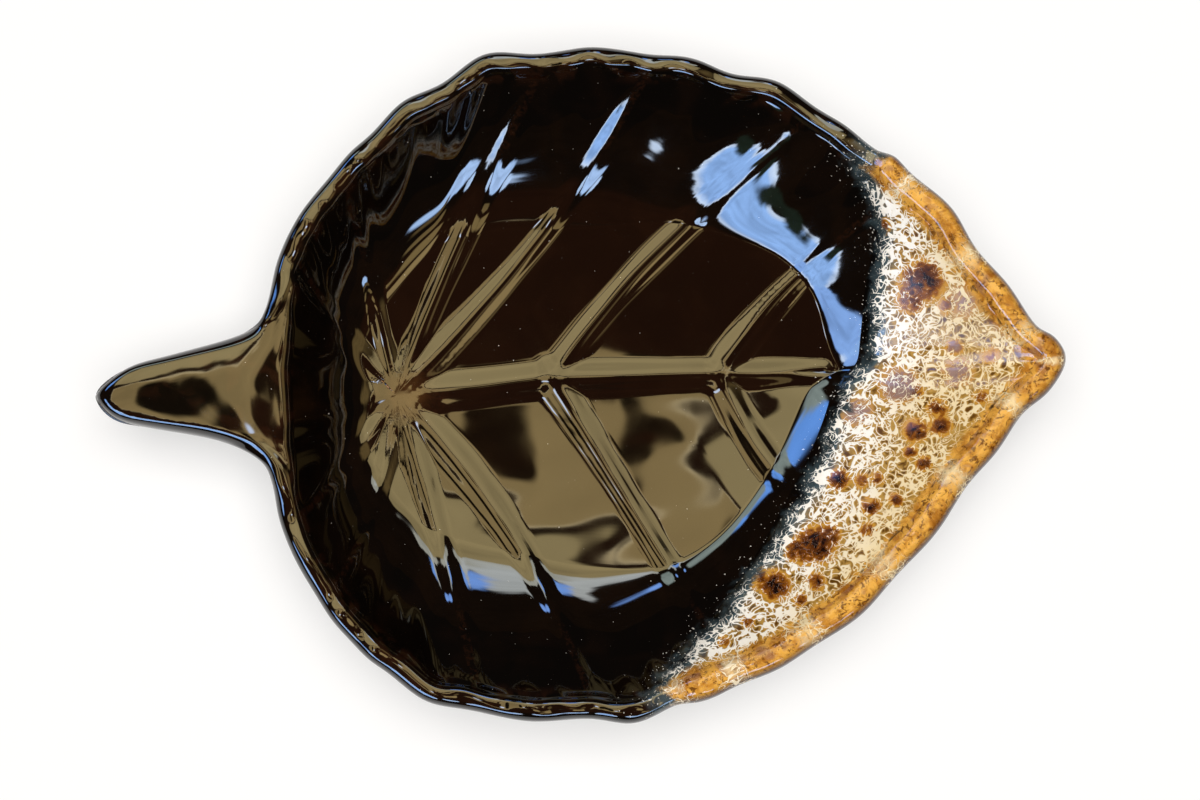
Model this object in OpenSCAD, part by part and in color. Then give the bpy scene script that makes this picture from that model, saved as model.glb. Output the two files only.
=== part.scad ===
// Leaf shaped serving dish: a cast clay leaf with raised veins and a stem to hold,
// coated with dark glaze inside and out, with a thick frothy glaze over the tip.
// X runs from the stem to the leaf tip, Z is up and the table is at Z = 0.

/* [Leaf] */
// Length of the blade from the rim at the stem to the leaf tip
blade_length = 199; // [160:1:250]
// Width of the blade over its widest lobes
blade_width = 170; // [140:1:210]
// Height of the lip above the table
rim_height = 32; // [26:0.5:42]
// Finished thickness of the floor
floor_thickness = 5; // [4:0.25:8]
// Finished thickness of the walls
wall_thickness = 5; // [4:0.25:7]
// How much the floor rises from the midrib to the foot of the wall
floor_dish = 1; // [0:0.25:2]

/* [Lip] */
// Width of the rolled lip
lip_width = 6; // [5:0.25:8]
// How far the outer edge of the lip lies below its top
lip_drop = 3.2; // [2:0.1:4]
// Radius of the shoulder between the lip and the bowl
shoulder_radius = 1.8; // [1:0.1:2.5]
// How much the lip sinks at each notch of the rim
notch_dip = 0.8; // [0:0.1:1.5]

/* [Stem] */
// Length of the stem beyond the rim
stem_length = 43; // [30:1:60]
// Width of the stem at its middle
stem_width = 18; // [14:0.5:24]
// Thickness of the stem
stem_thickness = 12; // [9:0.5:15]

/* [Veins] */
// Height of the midrib above the floor
midrib_height = 1; // [0.5:0.1:2]
// Height of a side vein where it leaves the midrib
vein_height = 1; // [0.5:0.1:2]
// Height of a side vein where it meets the lip
vein_end_height = 0.5; // [0.2:0.1:1]

/* [Glaze] */
// Thickness of the dark glaze coats
glaze_thickness = 0.5; // [0.3:0.05:0.8]
// Thickness of the frothy glaze over the tip
tip_glaze_thickness = 0.8; // [0.5:0.05:1.2]
// Thickness of the frothy glaze along its border
tip_glaze_border = 0.3; // [0.2:0.05:0.4]

/* [Foot] */
// Height of the bare clay foot
foot_height = 2; // [1.5:0.25:4]
// How far the foot stands in from the foot of the outer wall
foot_inset = 2; // [1:0.25:4]

/* [Hidden] */

// Rows of the rim from the tip to the stem, one for each notch between two lobes.
// Each row: x from the rim at the stem, y, swell of the lobe before the next notch,
// run of the wall from the lip down to the floor, run of the tip glaze from the lip,
// bow of the line from the midrib to the notch.
shape_length = 199;
shape_width = 170;
upper_rows = [
  [199, 5.5, 1.5, 51, 43, 0],
  [191.5, 14, 0.75, 45, 34, 0.5],
  [177, 33, 2, 34, 20, 2],
  [161.5, 51.5, 0.75, 24, 5, 3.5],
  [151.5, 59.5, 0.5, 28, 6, 4],
  [137.5, 69.5, 2.5, 36, 20, 4.5],
  [116.5, 78, 1.5, 42, 26, 0],
  [95.5, 83, 1.75, 46, 28, -4],
  [67.5, 83, 4, 44, 27, 2.5],
  [43.5, 75.5, 2, 40, 25, 1],
  [26, 63, 0.5, 34, 21, 0],
  [15.5, 52, 1.25, 30, 18, 0],
  [2.5, 31, 0, 24, 15, 1.5]
];
lower_rows = [
  [199, 5.5, 1.5, 51, 43, 0],
  [188, -7.5, 0.75, 45, 37, 0.5],
  [174, -25.5, 1.25, 39, 28, 2],
  [156.5, -47.5, 1.75, 34, 23, 5],
  [136, -65, 1, 29, 16, 3],
  [117.5, -74.5, 0.75, 21, 8, 0],
  [102.5, -80, 3, 34, 4, -3],
  [80.5, -83.5, 1.75, 42, 24, -6],
  [51.5, -81.5, 2.5, 42, 26, 0],
  [31, -72.5, 0.5, 38, 23, -1],
  [21.5, -64.5, 0.5, 34, 21, -2],
  [13, -53.5, 0.75, 30, 18, -2.5],
  [3.5, -34.5, 0, 24, 15, 0]
];
// Outline of the stem: share of its length and of its width, from its upper to its lower root
stem_rows = [
  [0.01, 1.1], [0.13, 0.78], [0.52, 0.5], [0.81, 0.3], [1, -0.06],
  [0.9, -0.42], [0.67, -0.55], [0.28, -0.72], [0.035, -1], [-0.04, -1.33]
];
stem_axis_y = -1.5;
stem_wall_run = 20;
stem_glaze_run = 12;
// How far the lip swells out where the stem joins it
root_swell = 3;

// Points of the midrib for the rows from the tip to the hub, where the other veins meet
midrib = [[140, 4.5], [133, 4.5], [124, 4], [114, 4], [93, 3.5], [71, 3], [51, 0.5], [31, -1.5]];
vein_rows = [3, 5, 7, 8, 11, 12];
// Oval under side of the floor: its middle and its half length and half width
base_centre = [82, -3];
base_half = [61, 47];
foot_sides = 90;
// Curve of the wall: 1 is straight from a sharp crease, more is a softer bend
tip_wall_curve = 1.25;
side_wall_curve = 2.1;
// Rows over which the crease at the tip fades into the soft bend
crease_rows = [4, 7];

// Rings of the surface as shares of the floor, the wall, the lip and the under side
floor_rings = [0.08, 0.3, 0.55, 0.8, 1];
wall_foot_rings = [0.35, 0.7];
wall_rings = [0, 1 / 3, 2 / 3, 1];
lip_rings = [0.1, 0.28, 0.55, 0.8, 1];
under_rings = [0.75, 0.4, 0];
outer_wall_rings = [0.35, 0.7];
// Share of the lip, and of the stem, where its outer edge starts to turn down
lip_turn = 0.45;
stem_turn = 0.05;
// Share of the stem over which its under side rounds
stem_round = 0.4;
// Distance beyond the rim at which the lip has fully become the stem
stem_blend = 12;
// Places of the crease lines beside a vein and of a plain line between two rows
beside_vein = 0.3;
plain_line = 0.5;
// Rows at which the tip glaze ends on the rim
tip_glaze_upper_row = 3.5;
tip_glaze_lower_row = 6.25;

last_row = len(upper_rows) - 1;
hub_row = len(midrib) - 1;
stem_count = len(stem_rows);
control_count = 4 * last_row + stem_count + 1;
sector_count = 2 * control_count;
hub_id = 4 * hub_row;
// The overall length, with the glaze on the tip, is centred on the origin
root_x = (stem_length - blade_length - tip_glaze_thickness) / 2;
floor_z = foot_height + floor_thickness;

first_foot_ring = len(floor_rings) + 1;
first_wall_ring = first_foot_ring + len(wall_foot_rings);
first_lip_ring = first_wall_ring + len(wall_rings);
edge_ring = first_lip_ring + len(lip_rings) - 1;
last_ring = edge_ring + len(under_rings) + len(outer_wall_rings) + 1;

function mix(a, b, f) = a + (b - a) * f;
function clamp(v) = min(max(v, 0), 1);
function ease(v) = let (c = clamp(v)) c * c * (3 - 2 * c);
function turned(v) = [-v[1], v[0]];
function in_list(v, list) = len([for (e = list) if (e == v) e]) > 0;

// A point of the blade in place, from its x along the blade and its y
function placed(p) = [
  root_x + p[0] * blade_length / shape_length,
  p[1] * blade_width / shape_width
];

// The control points run from the tip along the upper rim, round the stem and back
// along the lower rim. Even numbers of a half are notches and odd ones lobe crests.
function is_upper(i) = i <= 2 * last_row;
function is_stem(i) = i > 2 * last_row && i <= 2 * last_row + stem_count;
function half_place(i) = is_upper(i) ? i : control_count - i;
function rows_of(i) = is_upper(i) ? upper_rows : lower_rows;

function lobe_crest(rows, k, side) =
  let (
    a = placed(rows[k]),
    b = placed(rows[k + 1]),
    along = (b - a) / norm(b - a)
  )
  (a + b) / 2 - side * turned(along) * rows[k][2];

function half_point(i) =
  let (
    h = half_place(i),
    rows = rows_of(i),
    k = floor(h / 2)
  )
  h % 2 == 0 ? placed(rows[k]) : lobe_crest(rows, k, is_upper(i) ? 1 : -1);

function stem_point(n) = [
  root_x - stem_rows[n][0] * stem_length,
  stem_axis_y + stem_rows[n][1] * stem_width
];

function root_point(n) =
  let (
    f = (n + 1) / (stem_count + 1),
    a = placed(upper_rows[last_row]),
    b = placed(lower_rows[last_row])
  )
  mix(a, b, f) - [4 * root_swell * f * (1 - f), 0];

outer_points = [for (i = [0 : control_count - 1])
  is_stem(i) ? stem_point(i - 2 * last_row - 1) : half_point(i)];
rim_points = [for (i = [0 : control_count - 1])
  is_stem(i) ? root_point(i - 2 * last_row - 1) : half_point(i)];

// A number of a row, or midway between two rows for a lobe crest
function row_value(i, column) =
  let (
    h = half_place(i),
    rows = rows_of(i),
    k = floor(h / 2),
    next = min(k + 1, last_row)
  )
  h % 2 == 0 ? rows[k][column] : (rows[k][column] + rows[next][column]) / 2;

function midrib_point(h) =
  let (k = min(floor(h / 2), hub_row), next = min(k + 1, hub_row))
  h % 2 == 0 ? midrib[k] : (midrib[k] + midrib[next]) / 2;

wall_runs = [for (i = [0 : control_count - 1]) is_stem(i) ? stem_wall_run : row_value(i, 3)];
glaze_runs = [for (i = [0 : control_count - 1]) is_stem(i) ? stem_glaze_run : row_value(i, 4)];
bows = [for (i = [0 : control_count - 1])
  is_stem(i) ? 0 : row_value(i, 5) * (is_upper(i) ? 1 : -1)];
starts = [for (i = [0 : control_count - 1])
  placed(is_stem(i) ? midrib[hub_row] : midrib_point(half_place(i)))];
curves = [for (i = [0 : control_count - 1])
  let (row = is_stem(i) ? last_row : half_place(i) / 2)
  mix(tip_wall_curve, side_wall_curve,
      ease((row - crease_rows[0]) / (crease_rows[1] - crease_rows[0])))];
dips = [for (i = [0 : control_count - 1])
  !is_stem(i) && half_place(i) % 2 == 0 ? notch_dip : 0];
vein_controls = [for (i = [0 : control_count - 1])
  !is_stem(i) && half_place(i) % 2 == 0 && in_list(half_place(i) / 2, vein_rows)];

// Two sector lines start in each span between control points
function next_control(i) = (i + 1) % control_count;
function share(q) =
  let (i = floor(q / 2))
  q % 2 == 0 ? 0
  : vein_controls[i] ? beside_vein
  : vein_controls[next_control(i)] ? 1 - beside_vein
  : plain_line;

function spline(p, i, f) =
  let (
    a = p[(i + control_count - 1) % control_count],
    b = p[i],
    c = p[(i + 1) % control_count],
    d = p[(i + 2) % control_count]
  )
  (2 * b + (c - a) * f + (2 * a - 5 * b + 4 * c - d) * f * f
    + (3 * b - a - 3 * c + d) * f * f * f) / 2;

function along_span(list, q) =
  let (i = floor(q / 2))
  mix(list[i], list[next_control(i)], share(q));

sectors = [0 : sector_count - 1];
outer_line = [for (q = sectors) spline(outer_points, floor(q / 2), share(q))];
rim_line = [for (q = sectors) spline(rim_points, floor(q / 2), share(q))];
start_line = [for (q = sectors) along_span(starts, q)];
run_line = [for (q = sectors) along_span(wall_runs, q)];
glaze_run_line = [for (q = sectors) along_span(glaze_runs, q)];
bow_line = [for (q = sectors) along_span(bows, q)];
curve_line = [for (q = sectors) along_span(curves, q)];
rim_z = [for (q = sectors) rim_height - along_span(dips, q)];

function sector(q) = (q + sector_count) % sector_count;
inner_line = [for (q = sectors)
  let (along = rim_line[sector(q + 1)] - rim_line[sector(q - 1)])
  rim_line[q] + turned(along) / norm(along) * lip_width];
floor_share = [for (q = sectors)
  max(1 - run_line[q] / norm(inner_line[q] - start_line[q]), 0.02)];
glaze_share = [for (q = sectors) clamp(1 - glaze_run_line[q] / run_line[q])];
stem_share = [for (q = sectors) ease(norm(outer_line[q] - rim_line[q]) / stem_blend)];
shoulder_z = [for (q = sectors) rim_z[q] - shoulder_radius];
edge_z = [for (q = sectors)
  rim_z[q] - mix(lip_drop, stem_thickness / 2, stem_share[q])];
wall_foot_z = floor_z + floor_dish;

// A place on a sector line, by its share from the midrib to the lip
function line_point(q, s) =
  let (d = inner_line[q] - start_line[q])
  start_line[q] + d * s + turned(d) / norm(d) * bow_line[q] * 4 * s * (1 - s);

function wall_share(q, w) = mix(floor_share[q], 1, w);
function wall_z(q, w) = mix(wall_foot_z, shoulder_z[q], pow(w, curve_line[q]));
function wall_slope(q, w) =
  curve_line[q] * pow(w, curve_line[q] - 1) * (shoulder_z[q] - wall_foot_z) / run_line[q];

function is_vein(q) = q % 2 == 0 && vein_controls[floor(q / 2)];
function vein_rise(q, s) = is_vein(q) ? mix(vein_height, vein_end_height, s) : 0;

function floor_vertex(q, f) =
  let (s = floor_share[q] * f, p = line_point(q, s))
  [p[0], p[1], floor_z + floor_dish * f * f + vein_rise(q, s)];

function wall_vertex(q, w) =
  let (s = wall_share(q, w), p = line_point(q, s))
  [p[0], p[1], wall_z(q, w) + (w < 1 ? vein_rise(q, s) : 0)];

function lip_vertex(q, u) =
  let (
    p = mix(inner_line[q], outer_line[q], u),
    inside = 1 - clamp(norm(p - inner_line[q]) / shoulder_radius),
    turn = mix(lip_turn, stem_turn, stem_share[q]),
    outside = clamp((u - turn) / (1 - turn)),
    inner_drop = shoulder_radius * (1 - sqrt(1 - inside * inside)),
    outer_drop = (rim_z[q] - edge_z[q]) * (1 - sqrt(1 - outside * outside))
  )
  [p[0], p[1], rim_z[q] - inner_drop - outer_drop];

function under_wall_z(q, w) =
  let (slope = wall_slope(q, w))
  max(wall_z(q, w) - wall_thickness * sqrt(1 + slope * slope), foot_height);

function under_vertex(q, u) =
  let (
    p = mix(inner_line[q], outer_line[q], u),
    low = mix(under_wall_z(q, 1), rim_z[q] - stem_thickness, stem_share[q]),
    v = clamp((1 - u) / mix(1, stem_round, stem_share[q]))
  )
  [p[0], p[1], mix(edge_z[q], low, sqrt(1 - (1 - v) * (1 - v)))];

// Where the way from the middle of the base to the lip crosses the oval of the base
base_scale = [base_half[0] * blade_length / shape_length, base_half[1] * blade_width / shape_width];
function base_vertex(q) =
  let (
    centre = placed(base_centre),
    away = inner_line[q] - centre,
    reach = norm([away[0] / base_scale[0], away[1] / base_scale[1]]),
    p = centre + away / reach
  )
  [p[0], p[1], foot_height];

// A place on the outer wall, by its share from below the lip to the base
function outer_wall_vertex(q, g) =
  let (
    b = base_vertex(q),
    p = mix(inner_line[q], [b[0], b[1]], g),
    w = clamp(1 - norm(p - inner_line[q]) / run_line[q])
  )
  [p[0], p[1], under_wall_z(q, w)];

function ring_vertex(r, q) =
  r < first_foot_ring ? floor_vertex(q, floor_rings[r - 1])
  : r < first_wall_ring ? wall_vertex(q, glaze_share[q] * wall_foot_rings[r - first_foot_ring])
  : r < first_lip_ring ? wall_vertex(q, mix(glaze_share[q], 1, wall_rings[r - first_wall_ring]))
  : r <= edge_ring ? lip_vertex(q, lip_rings[r - first_lip_ring])
  : r <= edge_ring + len(under_rings) ? under_vertex(q, under_rings[r - edge_ring - 1])
  : r < last_ring ? outer_wall_vertex(q, outer_wall_rings[r - edge_ring - len(under_rings) - 1])
  : base_vertex(q);

spine = [for (q = [0 : hub_id]) [start_line[q][0], start_line[q][1], floor_z + midrib_height]];
rings = [for (r = [1 : last_ring]) [for (q = sectors) ring_vertex(r, q)]];
finished = concat(spine, [for (ring = rings) each ring]);

// The upper and the lower half share the vertices of the midrib
function vertex_id(r, q) =
  r == 0 ? min(sector(q), sector_count - sector(q), hub_id)
  : hub_id + 1 + (r - 1) * sector_count + sector(q);

function outward(r, q) =
  let (
    around = finished[vertex_id(r, q + 1)] - finished[vertex_id(r, q - 1)],
    across = finished[vertex_id(min(r + 1, last_ring), q)] - finished[vertex_id(r - 1, q)],
    n = r == last_ring ? cross([0, 0, -1], around) : cross(across, around)
  )
  n / norm(n);

normals = concat(
  [for (q = [0 : hub_id]) [0, 0, 1]],
  [for (r = [1 : last_ring]) each [for (q = sectors) outward(r, q)]]
);
bare = [for (i = [0 : len(finished) - 1]) finished[i] - normals[i] * glaze_thickness];
vertex_count = len(finished);

// Triangles between two rings, the first ring being the midrib
function strip(r, q) =
  let (
    a = vertex_id(r, q),
    b = vertex_id(r, q + 1),
    c = vertex_id(r + 1, q + 1),
    d = vertex_id(r + 1, q)
  )
  a == b ? [[a, c, d]] : [[a, b, c], [a, c, d]];

function skin(from, to, q_from, q_to) =
  [for (r = [from : to - 1]) each [for (q = [q_from : q_to]) each strip(r, q)]];

function flipped(faces) = [for (f = faces) [f[2], f[1], f[0]]];
function raised(faces, by) = [for (f = faces) f + [by, by, by]];

// Strip that closes a shell along one ring, between its outer and its inner skin
function ring_wall(r, q_from, q_to) = [for (q = [q_from : q_to])
  let (a = vertex_id(r, q), b = vertex_id(r, q + 1))
  each [[a, b, b + vertex_count], [a, b + vertex_count, a + vertex_count]]];

module shell(upper, lower, from, to) {
  top = skin(from, to, 0, sector_count - 1);
  low = raised(flipped(top), vertex_count);
  rim = ring_wall(to, 0, sector_count - 1);
  start = from == 0 ? [] : flipped(ring_wall(from, 0, sector_count - 1));
  polyhedron(concat(upper, lower), concat(top, low, rim, start));
}

module clay_body() {
  base = [[for (q = sectors) vertex_id(last_ring, q)]];
  color("peru")
    polyhedron(bare, concat(skin(0, last_ring, 0, sector_count - 1), base));
}

module foot_pad() {
  half = base_scale - [1, 1] * (glaze_thickness + foot_inset);
  centre = placed(base_centre);
  color("tan")
    linear_extrude(foot_height)
      polygon([for (a = [0 : 360 / foot_sides : 359])
        centre + [half[0] * cos(a), half[1] * sin(a)]]);
}

module inside_glaze() {
  color("saddlebrown")
    shell(finished, bare, 0, edge_ring);
}

module outside_glaze() {
  color("maroon")
    shell(finished, bare, edge_ring, last_ring);
}

module tip_glaze() {
  first = round(-4 * tip_glaze_lower_row);
  last = round(4 * tip_glaze_upper_row);
  function is_border(r, q) = r == first_wall_ring || q == first || q == last;
  thickness = [for (r = [first_wall_ring : edge_ring], q = [first : last])
    [vertex_id(r, q), is_border(r, q) ? tip_glaze_border : tip_glaze_thickness]];
  low_ids = [for (t = thickness) t[0]];
  poured = [for (t = thickness) finished[t[0]] + normals[t[0]] * t[1]];
  covered = [for (id = low_ids) finished[id]];
  width = last - first + 1;
  count = len(low_ids);
  function local(r, q) = (r - first_wall_ring) * width + q - first;
  top = [for (r = [first_wall_ring : edge_ring - 1], q = [first : last - 1])
    let (a = local(r, q), b = local(r, q + 1), c = local(r + 1, q + 1), d = local(r + 1, q))
    each [[a, b, c], [a, c, d]]];
  low = [for (f = top) [f[2] + count, f[1] + count, f[0] + count]];
  border = concat(
    [for (q = [first : last - 1]) [local(first_wall_ring, q + 1), local(first_wall_ring, q)]],
    [for (q = [first : last - 1]) [local(edge_ring, q), local(edge_ring, q + 1)]],
    [for (r = [first_wall_ring : edge_ring - 1]) [local(r, first), local(r + 1, first)]],
    [for (r = [first_wall_ring : edge_ring - 1]) [local(r + 1, last), local(r, last)]]
  );
  sides = [for (e = border)
    each [[e[0], e[1], e[1] + count], [e[0], e[1] + count, e[0] + count]]];
  color("wheat")
    polyhedron(concat(poured, covered), concat(top, low, sides));
}

clay_body();
foot_pad();
inside_glaze();
outside_glaze();
tip_glaze();
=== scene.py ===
"""Leaf shaped plate: a cast clay leaf under dark and frothy glazes, dressed over its solids."""

import logging
import math
from dataclasses import dataclass
from enum import Enum
from typing import ClassVar

import bpy
import numpy as np
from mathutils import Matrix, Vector


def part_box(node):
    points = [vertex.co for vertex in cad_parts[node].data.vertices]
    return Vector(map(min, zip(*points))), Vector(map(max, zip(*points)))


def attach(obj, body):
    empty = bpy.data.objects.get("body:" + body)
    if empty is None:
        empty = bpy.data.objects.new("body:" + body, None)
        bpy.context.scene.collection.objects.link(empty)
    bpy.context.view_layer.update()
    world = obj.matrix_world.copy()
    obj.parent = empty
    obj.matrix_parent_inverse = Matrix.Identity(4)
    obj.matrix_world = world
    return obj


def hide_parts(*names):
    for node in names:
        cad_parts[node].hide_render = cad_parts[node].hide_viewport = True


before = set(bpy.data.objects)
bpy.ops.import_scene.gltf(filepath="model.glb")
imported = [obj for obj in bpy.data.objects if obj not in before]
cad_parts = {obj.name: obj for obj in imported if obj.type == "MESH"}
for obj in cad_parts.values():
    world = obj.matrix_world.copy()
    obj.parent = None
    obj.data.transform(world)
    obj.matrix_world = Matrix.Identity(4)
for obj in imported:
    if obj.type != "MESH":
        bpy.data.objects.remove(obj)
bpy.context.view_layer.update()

LOG = logging.getLogger("leaf_plate")
MM = 0.001
MERGE = 0.0000004
CARD_HEIGHT = 1.3
SENSOR = 36.0
SMOOTH = {"interpolation_type": "SMOOTHSTEP"}

Value = float | np.ndarray
Socket = bpy.types.NodeSocket
Tree = bpy.types.NodeTree


class Slot(Enum):
    """Material slots of the record."""

    BARE_CLAY = "bare_clay"
    DARK_GLAZE = "dark_glaze"
    FROTH_GLAZE = "froth_glaze"


class Trait(Enum):
    """Point attributes that the glazes read from their meshes."""

    FROTH = "froth"
    CRATER = "crater"
    PLUM = "plum"
    LIP = "lip"
    NOTCH = "notch"
    THIN = "thin"


@dataclass(frozen=True)
class RimRow:
    """One notch of the rim, with the line that runs to it from the midrib, in millimetres.

    x is measured from the rim at the stem. swell is how far the lobe before the next
    notch stands out, wall_run how far the wall reaches in from the lip, froth_run how far
    the froth does, and bow how far the line bends towards the stem.
    """

    x: float
    y: float
    swell: float
    wall_run: float
    froth_run: float
    bow: float


@dataclass(frozen=True)
class Crater:
    """One eye in the froth, in millimetres from the plate's middle; tint 0 is brown, 1 plum."""

    x: float
    y: float
    radius: float
    depth: float
    tint: float = 0.0


UPPER_ROWS: tuple[RimRow, ...] = tuple(RimRow(*row) for row in (
    (199.0, 5.5, 1.5, 51.0, 43.0, 0.0), (191.5, 14.0, 0.75, 45.0, 34.0, 0.5),
    (177.0, 33.0, 2.0, 34.0, 20.0, 2.0), (161.5, 51.5, 0.75, 24.0, 5.0, 3.5),
    (151.5, 59.5, 0.5, 28.0, 0.0, 4.0), (137.5, 69.5, 2.5, 36.0, -10.0, 4.5),
    (116.5, 78.0, 1.5, 42.0, -30.0, 0.0), (95.5, 83.0, 1.75, 46.0, -40.0, -4.0),
    (67.5, 83.0, 4.0, 44.0, -40.0, 2.5), (43.5, 75.5, 2.0, 40.0, -40.0, 1.0),
    (26.0, 63.0, 0.5, 34.0, -40.0, 0.0), (15.5, 52.0, 1.25, 30.0, -40.0, 0.0),
    (2.5, 31.0, 0.0, 24.0, -40.0, 1.5),
))
LOWER_ROWS: tuple[RimRow, ...] = tuple(RimRow(*row) for row in (
    (199.0, 5.5, 1.5, 51.0, 43.0, 0.0), (188.0, -7.5, 0.75, 45.0, 37.0, 0.5),
    (174.0, -25.5, 1.25, 39.0, 28.0, 2.0), (156.5, -47.5, 1.75, 34.0, 23.0, 5.0),
    (136.0, -65.0, 1.0, 29.0, 16.0, 3.0), (117.5, -74.5, 0.75, 21.0, 8.0, 0.0),
    (102.5, -80.0, 3.0, 34.0, 2.0, -3.0), (80.5, -83.5, 1.75, 42.0, -12.0, -6.0),
    (51.5, -81.5, 2.5, 42.0, -40.0, 0.0), (31.0, -72.5, 0.5, 38.0, -40.0, -1.0),
    (21.5, -64.5, 0.5, 34.0, -40.0, -2.0), (13.0, -53.5, 0.75, 30.0, -40.0, -2.5),
    (3.5, -34.5, 0.0, 24.0, -40.0, 0.0),
))
CRATERS: tuple[Crater, ...] = tuple(Crater(*row) for row in (
    (86.5, 26.0, 6.5, 1.0), (84.0, 22.0, 4.5, 0.75), (76.5, 40.0, 2.6, 0.6),
    (92.5, 20.0, 3.0, 0.6), (81.0, 0.0, 6.0, 0.75, 0.8), (84.5, -1.5, 2.6, 1.1),
    (95.5, 3.0, 4.4, 0.65, 0.9), (94.5, 9.5, 2.6, 0.75, 0.6), (96.5, 21.0, 6.0, 0.4, 1.0),
    (70.5, -6.5, 5.0, 0.55, 1.0), (90.0, -6.5, 3.0, 0.9), (90.5, -11.0, 3.2, 0.9),
    (84.5, -12.0, 3.6, 0.95), (83.0, -17.5, 2.2, 0.8), (86.0, -20.5, 2.4, 0.9),
    (75.0, -24.0, 2.2, 0.7), (65.5, -24.0, 3.2, 0.95), (71.0, -24.5, 2.4, 0.6),
    (79.0, -29.5, 2.2, 0.8), (73.0, -31.0, 2.8, 0.9), (63.0, -38.0, 3.2, 0.9),
    (59.5, -40.5, 6.0, 1.0), (55.5, -42.0, 4.5, 0.8), (72.0, -37.0, 2.4, 0.7),
    (49.0, -51.0, 4.6, 1.0), (46.0, -49.5, 4.0, 0.6), (59.0, -50.0, 2.8, 0.85),
    (55.0, -54.5, 2.2, 0.7), (42.0, -60.0, 2.2, 0.6), (36.0, -65.0, 2.0, 0.6),
    (100.5, -4.0, 2.6, 0.6), (103.0, 7.0, 3.0, 0.5),
))


def mix(a: Value, b: Value, share: Value) -> Value:
    """Blend from a to b by a share of 0 to 1."""
    return a + (b - a) * share


def ease(value: Value) -> Value:
    """Ease a value of 0 to 1 in and out, and hold it at the ends."""
    held = np.clip(value, 0.0, 1.0)
    return held * held * (3.0 - 2.0 * held)


def turned(vectors: np.ndarray) -> np.ndarray:
    """Turn plan vectors a quarter turn to the left."""
    return np.stack([-vectors[..., 1], vectors[..., 0]], axis=-1)


def span(vectors: np.ndarray) -> np.ndarray:
    """Measure the length of each vector."""
    return np.linalg.norm(vectors, axis=-1)


def unit(vectors: np.ndarray) -> np.ndarray:
    """Scale vectors to a length of one."""
    return vectors / span(vectors)[..., None]


def smooth_loop(values: np.ndarray, sigma: float) -> np.ndarray:
    """Soften values around a closed loop.

    Args:
        values: One value or vector for each sample of the loop.
        sigma: Reach of the softening, in samples.

    Returns:
        The softened values.
    """
    waves = np.fft.fftfreq(len(values))
    weights = np.exp(-2.0 * (math.pi * sigma * waves) ** 2)
    shaped = weights.reshape(-1, *([1] * (values.ndim - 1)))
    return np.real(np.fft.ifft(np.fft.fft(values, axis=0) * shaped, axis=0))


def ripple(points: np.ndarray) -> np.ndarray:
    """Give the short waves of the hand finished lip.

    Args:
        points: Plan points, in millimetres.

    Returns:
        One value for each point.
    """
    x, y = points[..., 0], points[..., 1]
    return (0.6 * np.sin(x / 1.9 + 1.7 * np.sin(y / 5.3)) * np.cos(y / 2.3 + 0.4)
            + 0.4 * np.sin((x + y) / 1.5 + 0.9) + 0.4 * np.sin((x - 1.4 * y) / 3.7))


def wobble(points: np.ndarray) -> np.ndarray:
    """Give the slight hand made unevenness of the glaze.

    Args:
        points: Plan points, in millimetres.

    Returns:
        One value for each point.
    """
    x, y = points[:, 0], points[:, 1]
    return (0.5 * np.sin(x / 7.1 + 1.3 * np.sin(y / 9.7)) * np.cos(y / 6.3 + 0.8)
            + 0.35 * np.sin((x - y) / 4.7 + 0.6) * np.sin((x + 2 * y) / 8.9)
            + 0.3 * np.cos(x / 13.0 - y / 11.0))


def closed_spline(points: np.ndarray, per_span: int) -> np.ndarray:
    """Sample a closed smooth curve through points.

    Args:
        points: The points of the curve, in order.
        per_span: Number of samples from one point to the next.

    Returns:
        The samples, starting at the first point.
    """
    f = (np.arange(per_span) / per_span)[None, :, None]
    a, b = np.roll(points, 1, axis=0)[:, None], points[:, None]
    c, d = np.roll(points, -1, axis=0)[:, None], np.roll(points, -2, axis=0)[:, None]
    curve = (2 * b + (c - a) * f + (2 * a - 5 * b + 4 * c - d) * f**2
             + (3 * b - a - 3 * c + d) * f**3) / 2
    return curve.reshape(-1, points.shape[1])


@dataclass(frozen=True)
class Control:
    """One control point around the leaf: a notch, the crest of a lobe or a point of the stem."""

    point: tuple[float, float]
    run: float
    froth: float
    bow: float
    start: tuple[float, float]
    dip: float
    row: float


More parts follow.
